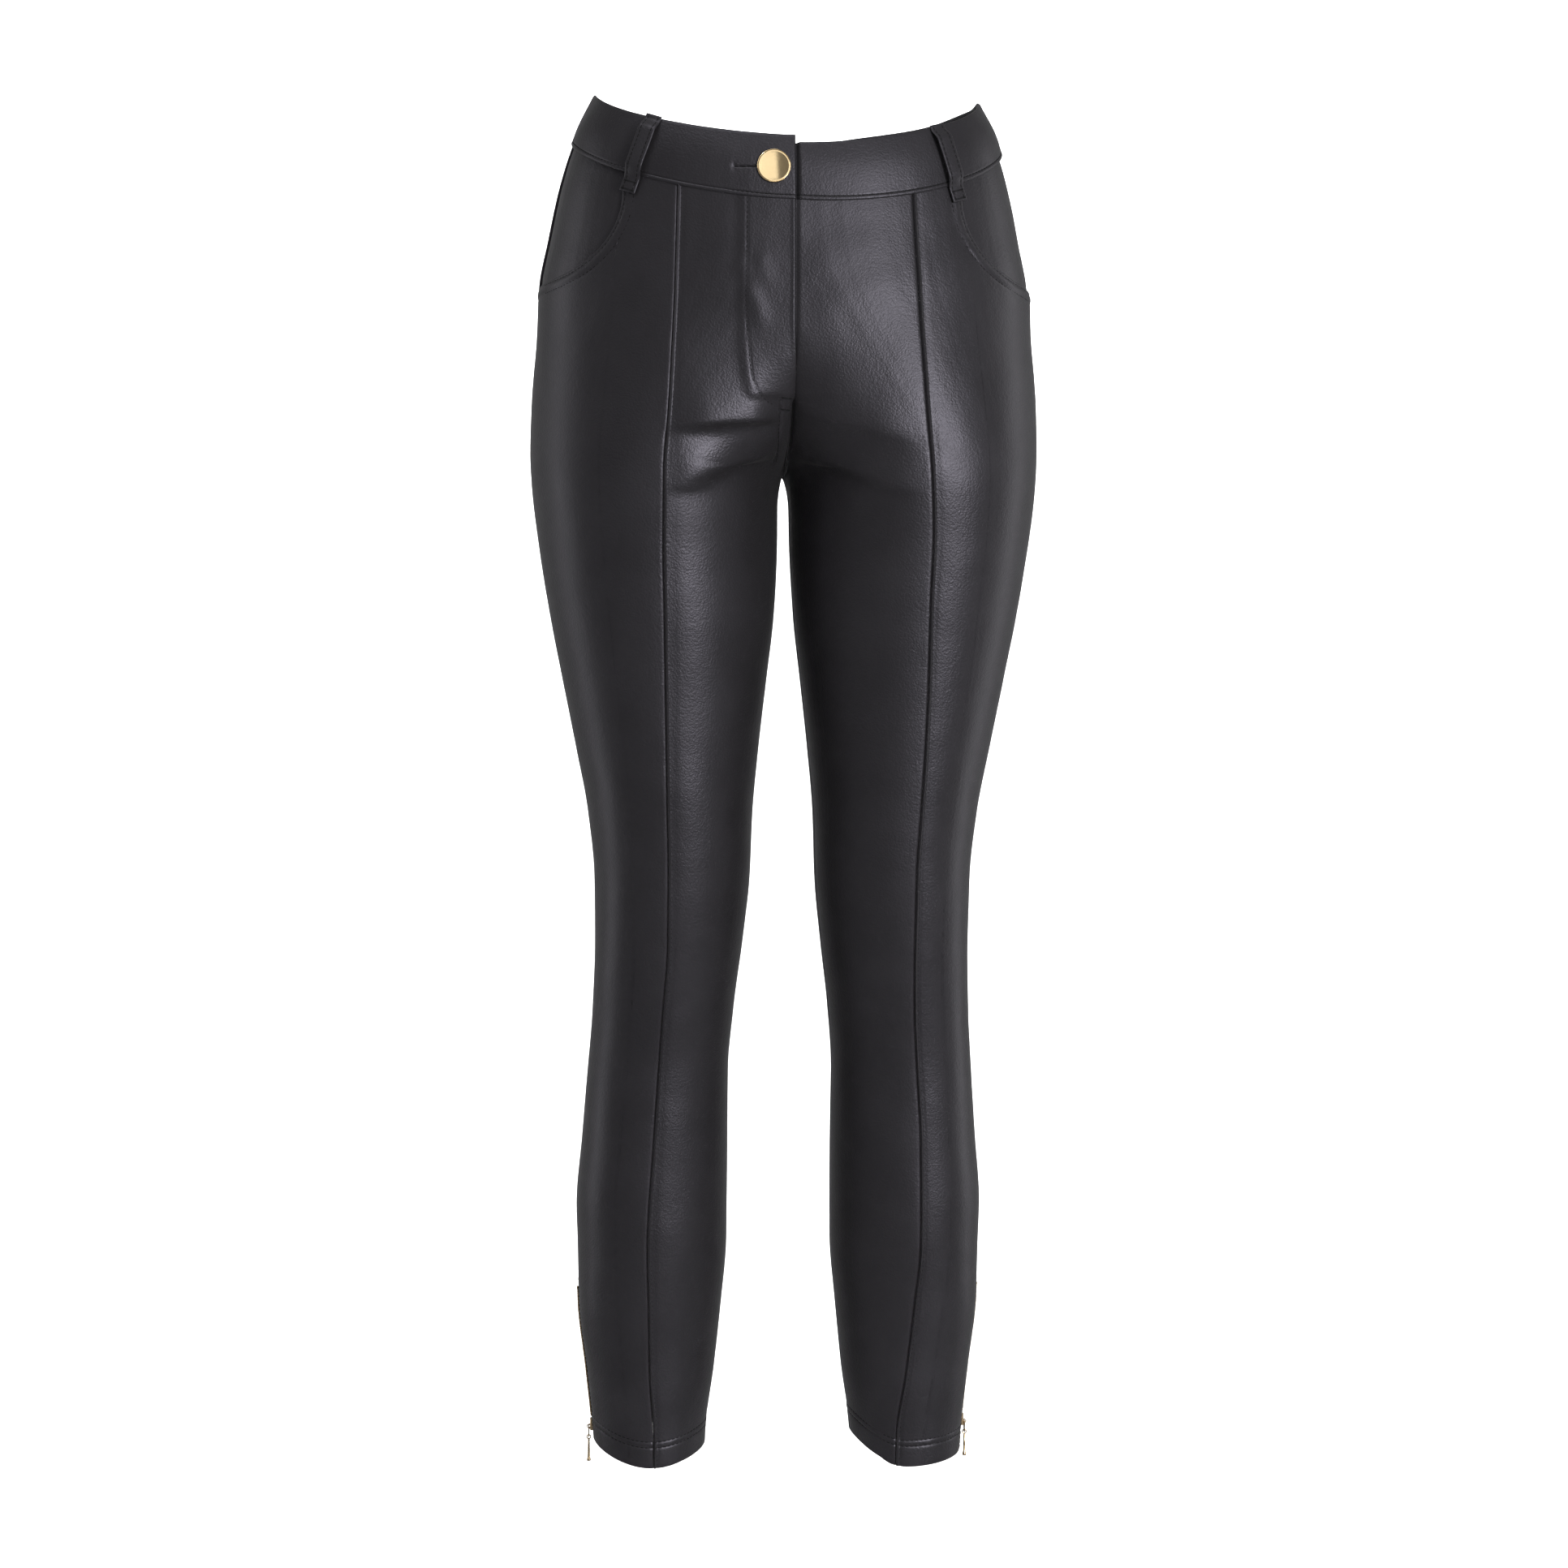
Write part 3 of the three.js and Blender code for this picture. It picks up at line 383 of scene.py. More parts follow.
def placesOf(columns, rows=1, insets=(None, None)):
    # one place for a whole grid, row by row; the insets leave room at both ends
    firsts = np.tile([seamNames.index(column[0]) for column in columns], rows)
    lasts = np.tile([seamNames.index(column[1]) for column in columns], rows)
    shares = np.tile([column[2] for column in columns], rows)
    offsets = np.tile([column[3] for column in columns], rows)
    count = np.arange(len(firsts))

    def place(outline):
        ends = np.stack([outline[name] for name in seamNames])
        a, b = ends[firsts, count], ends[lasts, count]
        if insets[0]:
            a = a + insets[0](outline["z"])
        if insets[1]:
            b = b - insets[1](outline["z"])
        return mix(a, b, shares) + offsets

    return place


def levelPoint(side, column, z):
    # where a column crosses one height: how far out and how far back
    outline = outlineAt(side, z)
    point = pointsOn(side, outline, placesOf([column])(outline))[0]
    return side["sign"] * point[0], point[1]


waistSeam = {
    "level": -16.5, "toFront": -17.5, "toEnds": -16.9, "toLeft": -0.8,      # how it dips round
    "frontDip": 1.8, "quarterDip": {"right": 0.9, "left": 4.6},
}
band = {
    "frontHeight": {"right": 41.9, "left": 37}, "sideHeight": 34.5, "backHeight": 37,
    "backDip": 4.5, "dipStart": (80, 104), "dipEnd": (125, 158),      # degrees round from the front
    "outside": 0.9, "thickness": 2.4, "endRadius": 1.2, "crown": 0.95, "stitch": 2.9,
    "underlap": 34, "stepWidth": 3, "frontRows": 56, "backRows": 18,
}


def waistAngle(side, column):
    # round the waist from the centre front
    x, y = levelPoint(side, column, 0)
    middle = middleAt(0)
    depth = middle - frontAt(0) if y < middle else backAt(0) - middle
    return math.atan2(x / outerAt(0), (middle - y) / depth)


def frontDip(side, angle):
    # how much lower the band's seam hangs across the front
    quarterDip = waistSeam["quarterDip"][side["name"]] * math.sin(2 * angle)
    return max(math.cos(angle), 0) * (waistSeam["frontDip"] + quarterDip)


def waistSeamHeight(side, column):
    angle = waistAngle(side, column)
    return (waistSeam["level"] + waistSeam["toFront"] * math.cos(angle)
            + waistSeam["toEnds"] * math.cos(2 * angle)
            + side["sign"] * waistSeam["toLeft"] * math.sin(angle) - frontDip(side, angle))


def bandHeight(side, column, front):
    angle = waistAngle(side, column)
    ends = band["frontHeight"][front["name"]] if math.cos(angle) > 0 else band["backHeight"]
    behind = math.degrees(angle)
    dip = band["backDip"] * smooth(behind, *band["dipStart"])
    dip = dip * (1 - smooth(behind, *band["dipEnd"]))
    return mix(ends, band["sideHeight"], math.sin(angle) ** 2) + frontDip(side, angle) - dip


hem = {"levelAbove": -884, "turnUp": 19.5, "turned": 0.35, "stitches": (14.6, 18.8),
       "edge": 0.5, "edgeWidth": 0.7}


def hemHeight(side, column):
    z = hem["levelAbove"]
    x, y = levelPoint(side, column, z)
    centre = (outerAt(z) + innerAt(z)) / 2
    across = (x - centre) / (outerAt(z) - centre)
    depth = middleAt(z) - frontAt(z) if y < middleAt(z) else backAt(z) - middleAt(z)
    along = (middleAt(z) - y) / depth
    ends = side["hem"]["outer"] if across > 0 else side["hem"]["inner"]
    faces = side["hem"]["front"] if along > 0 else side["hem"]["back"]
    return (ends * across ** 2 + faces * along ** 2) / (across ** 2 + along ** 2)


print("cloth sections ready")

pocket = {
    "x": 114, "z": -44, "depth": 54,       # the mouth's inner end, its level at the side, its depth
    "overlap": 11, "stitches": (1.9, 7.6), "below": 14,
    "edge": 0.7, "edgeWidth": 0.6, "roll": 0.5, "rollAt": 4.6, "rollWidth": 2.6,
}


def pocketTop(side):
    return pocket["z"] + side["sign"] * waistSeam["toLeft"]


def pocketReach(side):
    return outerAt(pocketTop(side) - pocket["depth"])


def pocketDistance(side, point):
    # how far a point lies from the pocket's edge, growing into the front
    reach = pocketReach(side)
    across = (reach - side["sign"] * point[:, 0]) / (reach - pocket["x"])
    down = np.maximum(0, pocketTop(side) - point[:, 2]) / pocket["depth"]
    return (np.hypot(np.maximum(across, 0), down) - 1) * pocket["depth"]


def pocketHeight(side, column, grow=0):
    # where a column meets the pocket's edge, or a line outside it
    reach = pocketReach(side)
    z = pocket["z"]
    for step in range(14):
        x = levelPoint(side, column, z)[0]
        across = min(1, max(0, (reach - x) / (reach - pocket["x"] + grow)))
        edge = pocketTop(side) - (pocket["depth"] + grow) * math.sqrt(1 - across ** 2)
        z = (z + edge) / 2
    return z


def sideShare(side, x, z):
    # how far across the side panel x lies, at one height
    outline = outlineAt(side, z)
    across = distanceAtX(outline, x, "front") - outline["legSeam"]
    return float((across / (outline["side"] - outline["legSeam"]))[0])


# Relief that a maker's seams give the panels, as depths and widths across each seam
seam = {
    "dip": 0.75, "dipWidth": 0.75,              # where two panels turn in and meet
    "welt": 1.25, "weltWidth": 0.75, "weltAt": 1.15,
    "valley": 0.5, "valleyWidth": 0.6, "valleyAt": 2.75,
    "stitchDip": 0.42, "stitchWidth": 0.65,     # where a row of stitches pulls the cloth down
}
fly = {
    "foldEnd": -181, "blend": 3,                # where the lapped edge ends
    "layer": 0.9, "layerWidth": 36, "layerEdge": (-3, 5), "lean": 0.9,
    "edge": 1.1, "edgeWidth": 0.6, "roll": 0.35, "rollAt": 1.6, "rollWidth": 1.0,
    "under": 0.9, "underWidth": 3, "underLean": 22,
    "groove": 0.95, "grooveEnd": (-189, -187.5),
    "strip": 0.55, "stripEdge": (-0.3, 0.8), "stripDip": 4,
    "crotchStitches": (1.3, 8.4), "tacks": (-181, -188.5),
}
# the curved row of stitches that closes the fly
jCurve = """
    x      z
    -31.5  -38
    -32.3  -80
    -33    -121
    -31    -149
    -29.5  -165
    -25    -177
    -17.5  -184.5
    -9     -188
"""
jTable = readTable(jCurve)
jAt = curveThrough(jTable, "x")


def stitchDip(distance, at):
    return -seam["stitchDip"] * bell(distance, at, seam["stitchWidth"])


def seamDip(distance):
    return -seam["dip"] * np.exp(-np.maximum(distance, 0) / seam["dipWidth"])


def weltRelief(distance):
    # a raised welt beside the seam, and the valley where it is stitched down
    return (seam["welt"] * bell(distance, seam["weltAt"], seam["weltWidth"])
            - seam["valley"] * bell(distance, seam["valleyAt"], seam["valleyWidth"]))


def jDip(point):
    z = np.clip(point[:, 2], jTable["z"][0], jTable["z"][-1])
    slope = jAt(z + 0.5) - jAt(z - 0.5)
    away = (np.abs(point[:, 0]) - np.abs(jAt(z))) / np.sqrt(1 + slope ** 2)
    return fly["groove"] * smooth(point[:, 2], *fly["grooveEnd"]) * stitchDip(away, 0)


def flyLap(distance):
    # the wearer's right laps over, a layer proud, and leans out to its folded edge
    width, (start, end) = fly["layerWidth"], fly["layerEdge"]
    layer = fly["layer"] * (1 - smooth(distance, width + start, width + end))
    lean = fly["lean"] * np.clip(1 - distance / width, 0, 1)
    roll = fly["roll"] * bell(distance, fly["rollAt"], fly["rollWidth"])
    return layer + lean + roll - fly["edge"] * bell(distance, 0, fly["edgeWidth"])


def flyUnder(distance):
    lean = fly["lean"] * np.exp(-distance / fly["underLean"])
    return lean - fly["under"] * (1 - smooth(distance, 0, fly["underWidth"]))


def crotchStrip(point):
    # a doubled strip from the fly down to the crotch, with a row of stitches along each edge
    inner, outer = fly["crotchStitches"]
    aside, z, (start, full) = np.abs(point[:, 0]), point[:, 2], fly["stripEdge"]
    strip = (smooth(aside, inner + start, inner + full)
             * (1 - smooth(aside, outer - full, outer - start)))
    strip = strip + fly["stripDip"] * (stitchDip(aside, inner) + stitchDip(aside, outer))
    below = 1 - smooth(z, fly["foldEnd"] - 2, fly["foldEnd"] + 2)
    return below * (z > crotch["z"]) * fly["strip"] * strip


def pocketRelief(side, point):
    distance = pocketDistance(side, point)
    relief = (pocket["roll"] * bell(distance, pocket["rollAt"], pocket["rollWidth"])
              - pocket["edge"] * np.exp(-np.maximum(distance, 0) / pocket["edgeWidth"]))
    relief = relief + sum(stitchDip(distance, at) for at in pocket["stitches"])
    near = point[:, 2] > pocket["z"] - pocket["depth"] - pocket["below"]
    return np.where(near & (distance > -1), relief, 0)


def hemRelief(above):
    turned = hem["turned"] * (1 - smooth(above, hem["turnUp"] - 0.8, hem["turnUp"] + 0.8))
    edge = -hem["edge"] * np.exp(-np.maximum(above, 0) / hem["edgeWidth"])
    return turned + edge + sum(stitchDip(above, at) for at in hem["stitches"])


def panelOut(side, panel, outline, distance, aboveHem):
    # how far a panel's outer face stands out from the bare cloth
    first, last = panelEnds[panel]
    fromFirst, fromLast = distance - outline[first], outline[last] - distance
    point, z = pointsOn(side, outline, distance), outline["z"]
    out = seamDip(fromFirst)
    if panel == "centre":
        lapped = flyLap(fromFirst) if side is right else flyUnder(fromFirst)
        upper = smooth(z, fly["foldEnd"] - fly["blend"], fly["foldEnd"] + fly["blend"])
        out = mix(out, lapped, upper)
        if side is right:
            out = out + jDip(point) + crotchStrip(point)
    if panel == side["weltOn"]:
        out = out + weltRelief(fromLast if panel == "centre" else fromFirst)
    if panel == "side":
        out = out + pocketRelief(side, point)
    return out + seamDip(fromLast) + hemRelief(aboveHem)


zipGap = {"top": -795, "closing": 12, "width": 5.0, "stitch": 5.2}


def sideOpening(z):
    closed = smooth(z, zipGap["top"], zipGap["top"] + zipGap["closing"])
    return mix(zipGap["width"] / 2, halfGap, closed)


def seamInset(z):
    return 0 * z + halfGap


def inseamInset(z):
    return np.where(z > crotch["z"], 0, halfGap)


# Columns are closer where the cloth turns in at a seam and round stitches, in mm from the seam
edgeColumns = (0.0, 0.35, 0.75, 1.2, 1.7, 2.3, 3.1)
flyColumns = (4.2, 5.4, 6.4, 7.1, 7.6, 8.2, 8.8, 9.4, 10.4, *(11.5 + 1.15 * k for k in range(25)))
mouthColumns = {
    "before": 15, "edge": (2.0, 1.2, 0.6, 0.25, 0.0), "after": 6,
    "degrees": (1, *range(3, 24, 3), *range(24, 77, 4)),      # round the pocket's edge
}
# Rows are closer at the waist, round the crotch and at the hem's stitches
waistRows = (0, 0.35, 0.8, 1.5, 2.4)
hemRows = (21.5, 20.4, 19.6, 19.2, 18.8, 18.4, 18.0, 17.2, 16.2, 15.4, 15.0, 14.6, 14.2, 13.8, 12.8,
           10.4, 7.6, 4.8, 2.4, 1.5, 0.8, 0.35, 0)
levels = {"top": -140.0, "fineTop": -152.0, "fineLow": -238.0, "low": -860.0,
          "above": 40, "below": 12}


def panelColumns(width, firstColumns=()):
    # each column is a share of the way across and an offset that keeps it beside its seam
    near, inset = edgeColumns + firstColumns, edgeColumns[-1]
    count = max(4, round((width - near[-1] - inset) / cloth["columnStep"]))
    middle = [(k / count, mix(near[-1], -inset, k / count)) for k in range(1, count)]
    return [(0, d) for d in near] + middle + [(1, -d) for d in reversed(edgeColumns)]


def pocketColumns(side):
    # the side panel: up to the pocket's edge, round its curve, then on to the side seam
    reach, inset = pocketReach(side), edgeColumns[-1]
    edge = sideShare(side, pocket["x"], pocket["z"])
    before, after = mouthColumns["before"], mouthColumns["after"]
    columns = [(0, d) for d in edgeColumns]
    columns += [(edge * k / before, inset * (1 - k / before)) for k in range(1, before)]
    columns += [(edge, -d) for d in mouthColumns["edge"]]
    mouth = []
    for angle in map(math.radians, mouthColumns["degrees"]):
        x = reach - (reach - pocket["x"]) * math.cos(angle)
        mouth.append((sideShare(side, x, pocket["z"] - pocket["depth"] * math.sin(angle)), 0))
    last = mouth[-1][0]
    mouth += [(mix(last, 1, k / after), -inset * k / after) for k in range(1, after)]
    return columns, mouth + [(1, -d) for d in reversed(edgeColumns)]


def panelRows(top, hemZ):
    # heights down one column: shares near the top, level rows down the leg, then the hem
    heights = [top - d for d in waistRows]
    start, count = heights[-1], levels["above"]
    heights += [mix(start, levels["top"], k / count) for k in range(1, count)]
    for first, last, step in (("top", "fineTop", "rowStep"), ("fineTop", "fineLow", "fineStep"),
                              ("fineLow", "low", "rowStep")):
        count = round((levels[first] - levels[last]) / cloth[step])
        heights += [mix(levels[first], levels[last], k / count) for k in range(count)]
    count = levels["below"]
    heights += [mix(levels["low"], hemZ + hemRows[0], k / count) for k in range(count)]
    return heights + [hemZ + d for d in hemRows]


sharpAngle = 58      # degrees; smoother bends than this are shaded as one surface


def makeMesh(name, grids, faces, materials):
    # one mesh from stacks of points in mm and lists of faces, one list for each material
    mesh = bpy.data.meshes.new(name)
    points = np.concatenate(grids) * mm
    mesh.from_pydata(points.tolist(), [], [face for group in faces for face in group])
    slots = np.repeat(np.arange(len(faces), dtype=np.int32), [len(group) for group in faces])
    mesh.polygons.foreach_set("material_index", slots)
    for material in materials:
        mesh.materials.append(material)
    mesh.validate()
    mesh.update()
    mesh.shade_smooth()
    mesh.set_sharp_from_angle(angle=math.radians(sharpAngle))
    piece = bpy.data.objects.new(name, mesh)
    bpy.context.collection.objects.link(piece)
    return piece


def gridFaces(rows, columns, first=0, flip=False, closedRows=False, closedColumns=False):
    faces = []
    for r in range(rows if closedRows else rows - 1):
        here, below = first + r * columns, first + (r + 1) % rows * columns
        for c in range(columns if closedColumns else columns - 1):
            after = (c + 1) % columns
            face = (here + c, here + after, below + after, below + c)
            faces.append(face if flip else (face[0], *face[:0:-1]))
    return faces


def shellFaces(rows, columns, sign):
    # outer and inner faces of a shell, and the rim that joins them
    inside, flip = rows * columns, sign < 0
    outer = gridFaces(rows, columns, 0, flip)
    inner = gridFaces(rows, columns, inside, not flip)
    ring = [*range(columns), *(r * columns + columns - 1 for r in range(1, rows)),
            *((rows - 1) * columns + c for c in range(columns - 2, -1, -1)),
            *(r * columns for r in range(rows - 2, 0, -1))]
    rim = [(a, inside + a, inside + b, b) if flip else (a, b, inside + b, inside + a)
           for a, b in zip(ring, ring[1:] + ring[:1])]
    return outer + rim, inner


def fitted(piece, body, node=None):
    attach(piece, body)
    if node:
        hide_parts(node)
    return piece


def sewn(piece, node):
    # a piece of cloth on the trousers, put on in place of its part
    fitted(piece, "trousers", node)


def shellPiece(name, node, side, outer, inner, finishes):
    faces = shellFaces(*outer.shape[:2], side["sign"])
    piece = makeMesh(name, [outer.reshape(-1, 3), inner.reshape(-1, 3)], faces, finishes)
    sewn(piece, node)


easing = {"rounds": 60, "pull": 0.9, "aside": (2, 14), "reach": 16}


def eased(grid, share):
    # softens the bend in the cloth where the two legs part
    strength = easing["pull"] * share[1:-1, :, None]
    for _ in range(easing["rounds"]):
        grid[1:-1] += strength * ((grid[:-2] + grid[2:]) / 2 - grid[1:-1])
    return grid


def clothPanel(name, node, side, panel, columns, tops, insets, finishes):
    # a panel of the trousers, with a top for each column
    hems = [hemHeight(side, column) for column in columns]
    heights = np.array([panelRows(top, hemZ) for top, hemZ in zip(tops, hems)]).T
    shape, z = heights.shape, heights.ravel()
    aboveHem = (heights - np.array(hems)).ravel()
    place = placesOf(columns, shape[0], insets)
    outline = outlineAt(side, z)
    distance = place(outline)
    out = panelOut(side, panel, outline, distance, aboveHem)
    surface, facing = clothAt(side, place, z, out)
    first, last = (outline[end] for end in panelEnds[panel])
    away = np.minimum(distance - first, last - distance)
    share = (smooth(away, *easing["aside"]) * bell(z, crotch["z"], easing["reach"])).reshape(shape)
    bare = bareCloth(side, place, z)[0].reshape(*shape, 3)
    surface = surface + (eased(bare.copy(), share) - bare).reshape(-1, 3)
    # the hem is a layer thicker, and grooves thin the cloth a little
    depth = cloth["thickness"] + cloth["hemExtra"] * (aboveHem < hem["turnUp"])
    depth = depth + cloth["thinning"] * np.minimum(out, 0)
    inner = surface - facing * depth[:, None]
    shellPiece(name, node, side, surface.reshape(*shape, 3), inner.reshape(*shape, 3), finishes)


# Finishes, with sizes in mm

def newLook(name):
    material = bpy.data.materials.new(name)
    material.use_nodes = True
    tree = material.node_tree
    place = tree.nodes.new("ShaderNodeTexCoord").outputs["Object"]
    return {"material": material, "tree": tree, "place": place}


def feed(look, node, sockets):
    # each socket takes a constant, another node's first output, or the output that is given
    for name, value in sockets.items():
        if isinstance(value, bpy.types.Node):
            value = value.outputs[0]
        if isinstance(value, bpy.types.NodeSocket):
            look["tree"].links.new(value, node.inputs[name])
        else:
            node.inputs[name].default_value = value


def addNode(look, kind, sockets, **settings):
    node = look["tree"].nodes.new("ShaderNode" + kind)
    for name, value in settings.items():
        setattr(node, name, value)
    feed(look, node, sockets)
    return node


def texture(look, kind, sockets, **settings):
    return addNode(look, "Tex" + kind, {"Vector": look["place"], **sockets}, **settings)


def tones(look, share, pair):
    low, high = ((*colour, 1) for colour in pair)
    return addNode(look, "MixRGB", {"Fac": share, "Color1": low, "Color2": high})


def between(look, share, ends):
    return addNode(look, "MapRange", {"Value": share, "To Min": ends[0], "To Max": ends[1]})


def bumps(look, height, strength, depth, under=None, **settings):
    sockets = {"Height": height, "Strength": strength, "Distance": depth * mm}
    if under:
        sockets["Normal"] = under
    return addNode(look, "Bump", sockets, **settings)


def finished(look, sockets):
    feed(look, look["tree"].nodes["Principled BSDF"], sockets)
    return look["material"]


leatherFinish = {
    "colours": ((0.0155, 0.0146, 0.0160), (0.0235, 0.0222, 0.0245)), "patches": 26.0,
    "gloss": (0.90, 0.86, 1.0), "roughness": (0.34, 0.47), "sheen": 0.05,
    "grain": 1.35, "grainDepth": 0.15, "grainDrift": 380.0, "creases": 300.0, "creaseDepth": 0.22,
    "pores": 2600.0, "poreDepth": 0.04,
}


def leatherMaterial():
    # coated cloth: a fine pebble grain over soft, uneven creases
    finish = leatherFinish
    look = newLook("fauxLeather")
    drift = texture(look, "Noise", {"Scale": finish["grainDrift"], "Detail": 2.0})
    bent = addNode(look, "MixRGB", {"Fac": 0.0011, "Color1": look["place"],
                                    "Color2": drift.outputs["Color"]}, blend_type="LINEAR_LIGHT")
    pebbles = texture(look, "Voronoi", {"Vector": bent}, feature="SMOOTH_F1")
    feed(look, pebbles, {"Scale": 1000.0 / finish["grain"], "Smoothness": 0.55})
    pores = texture(look, "Noise", {"Scale": finish["pores"], "Detail": 2.0})
    creases = texture(look, "Noise", {"Scale": finish["creases"], "Detail": 3.0, "Roughness": 0.62})
    patches = texture(look, "Noise", {"Scale": finish["patches"], "Detail": 3.0})
    fine = bumps(look, pores, 0.4, finish["poreDepth"])
    grain = bumps(look, pebbles, 0.8, finish["grainDepth"], fine, invert=True)
    return finished(look, {
        "Base Color": tones(look, patches, finish["colours"]),
        "Roughness": between(look, patches, finish["roughness"]),
        "Normal": bumps(look, creases, 0.5, finish["creaseDepth"], grain),
        "Specular IOR Level": 0.5, "Specular Tint": (*finish["gloss"], 1),
        "Sheen Weight": finish["sheen"], "Sheen Roughness": 0.4,
    })


liningFinish = {"colours": ((0.012, 0.012, 0.013), (0.03, 0.029, 0.031)), "ribs": 260.0,
                "fuzz": 1500.0, "depth": 0.2, "roughness": 0.88, "sheen": 0.06}


def liningMaterial():
    # the knitted back of the coated cloth
    finish = liningFinish
    look = newLook("knitBacking")
    ribs = texture(look, "Wave", {"Scale": finish["ribs"], "Distortion": 1.2, "Detail": 1.0})
    fuzz = texture(look, "Noise", {"Scale": finish["fuzz"], "Detail": 2.0})
    return finished(look, {"Base Color": tones(look, fuzz, finish["colours"]),
                           "Normal": bumps(look, ribs, 0.5, finish["depth"]),
                           "Roughness": finish["roughness"], "Sheen Weight": finish["sheen"]})


threadFinish = {"colours": ((0.002, 0.002, 0.002), (0.009, 0.009, 0.010)), "twist": 2600.0,
                "depth": 0.1, "roughness": 0.75, "gloss": 0.25}


def threadMaterial():
    finish = threadFinish
    look = newLook("blackThread")
    twist = texture(look, "Noise", {"Scale": finish["twist"], "Detail": 2.0})
    return finished(look, {"Base Color": tones(look, twist, finish["colours"]),
                           "Normal": bumps(look, twist, 0.5, finish["depth"]),
                           "Roughness": finish["roughness"], "Specular IOR Level": finish["gloss"]})


tapeFinish = {"colours": ((0.006, 0.006, 0.007), (0.022, 0.021, 0.023)), "across": 520.0,
              "along": 420.0, "depth": 0.15, "roughness": 0.8}


def tapeMaterial():
    # closely woven zip tape
    finish = tapeFinish
    look = newLook("zipTape")
    across, along = (
        texture(look, "Wave", {"Scale": finish[way], "Distortion": 0.4}, bands_direction=axis)
        for way, axis in (("across", "Z"), ("along", "Y")))
    weave = addNode(look, "Math", {}, operation="MULTIPLY")
    for slot, threads in enumerate((across, along)):
        look["tree"].links.new(threads.outputs[0], weave.inputs[slot])
    return finished(look, {"Base Color": tones(look, weave, finish["colours"]),
                           "Normal": bumps(look, weave, 0.6, finish["depth"]),
                           "Roughness": finish["roughness"]})


goldFinishes = {
    "polishedGold": {"roughness": (0.07, 0.13), "colours": ((0.93, 0.72, 0.42), (0.86, 0.65, 0.36))},
    "zipGold": {"roughness": (0.2, 0.35), "colours": ((0.80, 0.63, 0.42), (0.62, 0.47, 0.29))},
}


def goldMaterial(name):
    # thin gold plating, with faint brushing and finger marks
    look = newLook(name)
    marks = texture(look, "Noise", {"Scale": 170.0, "Detail": 4.0})
    brushing = texture(look, "Noise", {"Scale": 900.0, "Detail": 2.0})
    return finished(look, {"Base Color": tones(look, marks, goldFinishes[name]["colours"]),
                           "Roughness": between(look, marks, goldFinishes[name]["roughness"]),
                           "Normal": bumps(look, brushing, 0.08, 0.05), "Metallic": 1.0})


leather, lining = leatherMaterial(), liningMaterial()
thread, tapeWeave = threadMaterial(), tapeMaterial()
polishedGold, zipGold = (goldMaterial(name) for name in goldFinishes)
clothFinishes = [leather, lining]
print("finishes made")


# Panels

panelWidths = {"centre": 86, "back": 230}


def makePanels(side):
    name = side["name"]

    def panel(title, node, kind, shares, insets, mouth=()):
        columns = [onPanel(kind, *column) for column in shares]
        tops = [waistSeamHeight(side, column) - halfGap for column in columns]
        bitten = [onPanel(kind, *column) for column in mouth]
        tops += [pocketHeight(side, column) for column in bitten]
        clothPanel(title + name, node + name, side, kind, columns + bitten, tops, insets,
                   clothFinishes)

    centre, back = panelColumns(panelWidths["centre"], flyColumns), panelColumns(panelWidths["back"])
    panel("frontCentre_", "front_centre_", "centre", centre, (inseamInset, seamInset))
    before, mouth = pocketColumns(side)
    panel("frontSide_", "front_side_", "side", before, (seamInset, sideOpening), mouth)
    panel("backPanel_", "back_", "back", back, (sideOpening, inseamInset))
    print("panels of the", name, "leg made")


for side in (right, left):
    makePanels(side)


# Pocket facings and fly shield

pocketFacing = {"thickness": 1.2, "clearance": 0.8, "columns": 44, "rows": 26}
flyShield = {"width": 38, "under": 4, "length": 102, "clearance": 1, "columns": 16, "rows": 40,
             "rounding": 0.25}


def underlay(name, node, parts, rows, heightsOf, under, finishes):
    # a plain strip under the outer cloth, from one or two halves
    halves = []
    for side, columns in parts:
        heights = np.array([heightsOf(side, column) for column in columns]).T
        points, facings = clothAt(side, placesOf(columns, rows), heights.ravel(),
                                  -cloth["thickness"] - under["clearance"])
        halves.append([part.reshape(rows, -1, 3)
                       for part in (points, points - facings * under["thickness"])])
    outer, inner = (np.concatenate(part, axis=1) for part in zip(*halves))
    shellPiece(name, node, parts[-1][0], outer, inner, finishes)


def makeFacing(side):
    shape = pocketFacing
    count = shape["columns"]
    start = sideShare(side, pocket["x"] - pocket["overlap"], pocket["z"])
    columns = [onPanel("side", mix(start, 1, k / count)) for k in range(count + 1)]

    def heights(side, column):
        top = waistSeamHeight(side, column) - halfGap
        return np.linspace(top, pocketHeight(side, column, pocket["overlap"]), shape["rows"])

    underlay("pocketFacing_" + side["name"], "pocket_facing_" + side["name"], [(side, columns)],
             shape["rows"], heights, shape, clothFinishes)


def makeFlyShield():
    shape = {**flyShield, "thickness": cloth["thickness"]}
    distances = np.linspace(shape["width"], 0.4, shape["columns"])
    top = waistSeamHeight(right, fromSeam("front", 0)) - halfGap - 0.4

    def heights(side, column):
        share = column[3] / shape["width"] if side is right else 0
        low = top - shape["length"] * (1 - shape["rounding"] * share ** 3)
        return np.linspace(top, low, shape["rows"])

    parts = [(right, [fromSeam("front", d) for d in distances]),
             (left, [fromSeam("front", shape["under"])])]
    underlay("flyShield", "fly_shield", parts, shape["rows"], heights, shape, clothFinishes)


for side in (right, left):
    makeFacing(side)
makeFlyShield()
print("pocket facings and fly shield made")


# Waistband

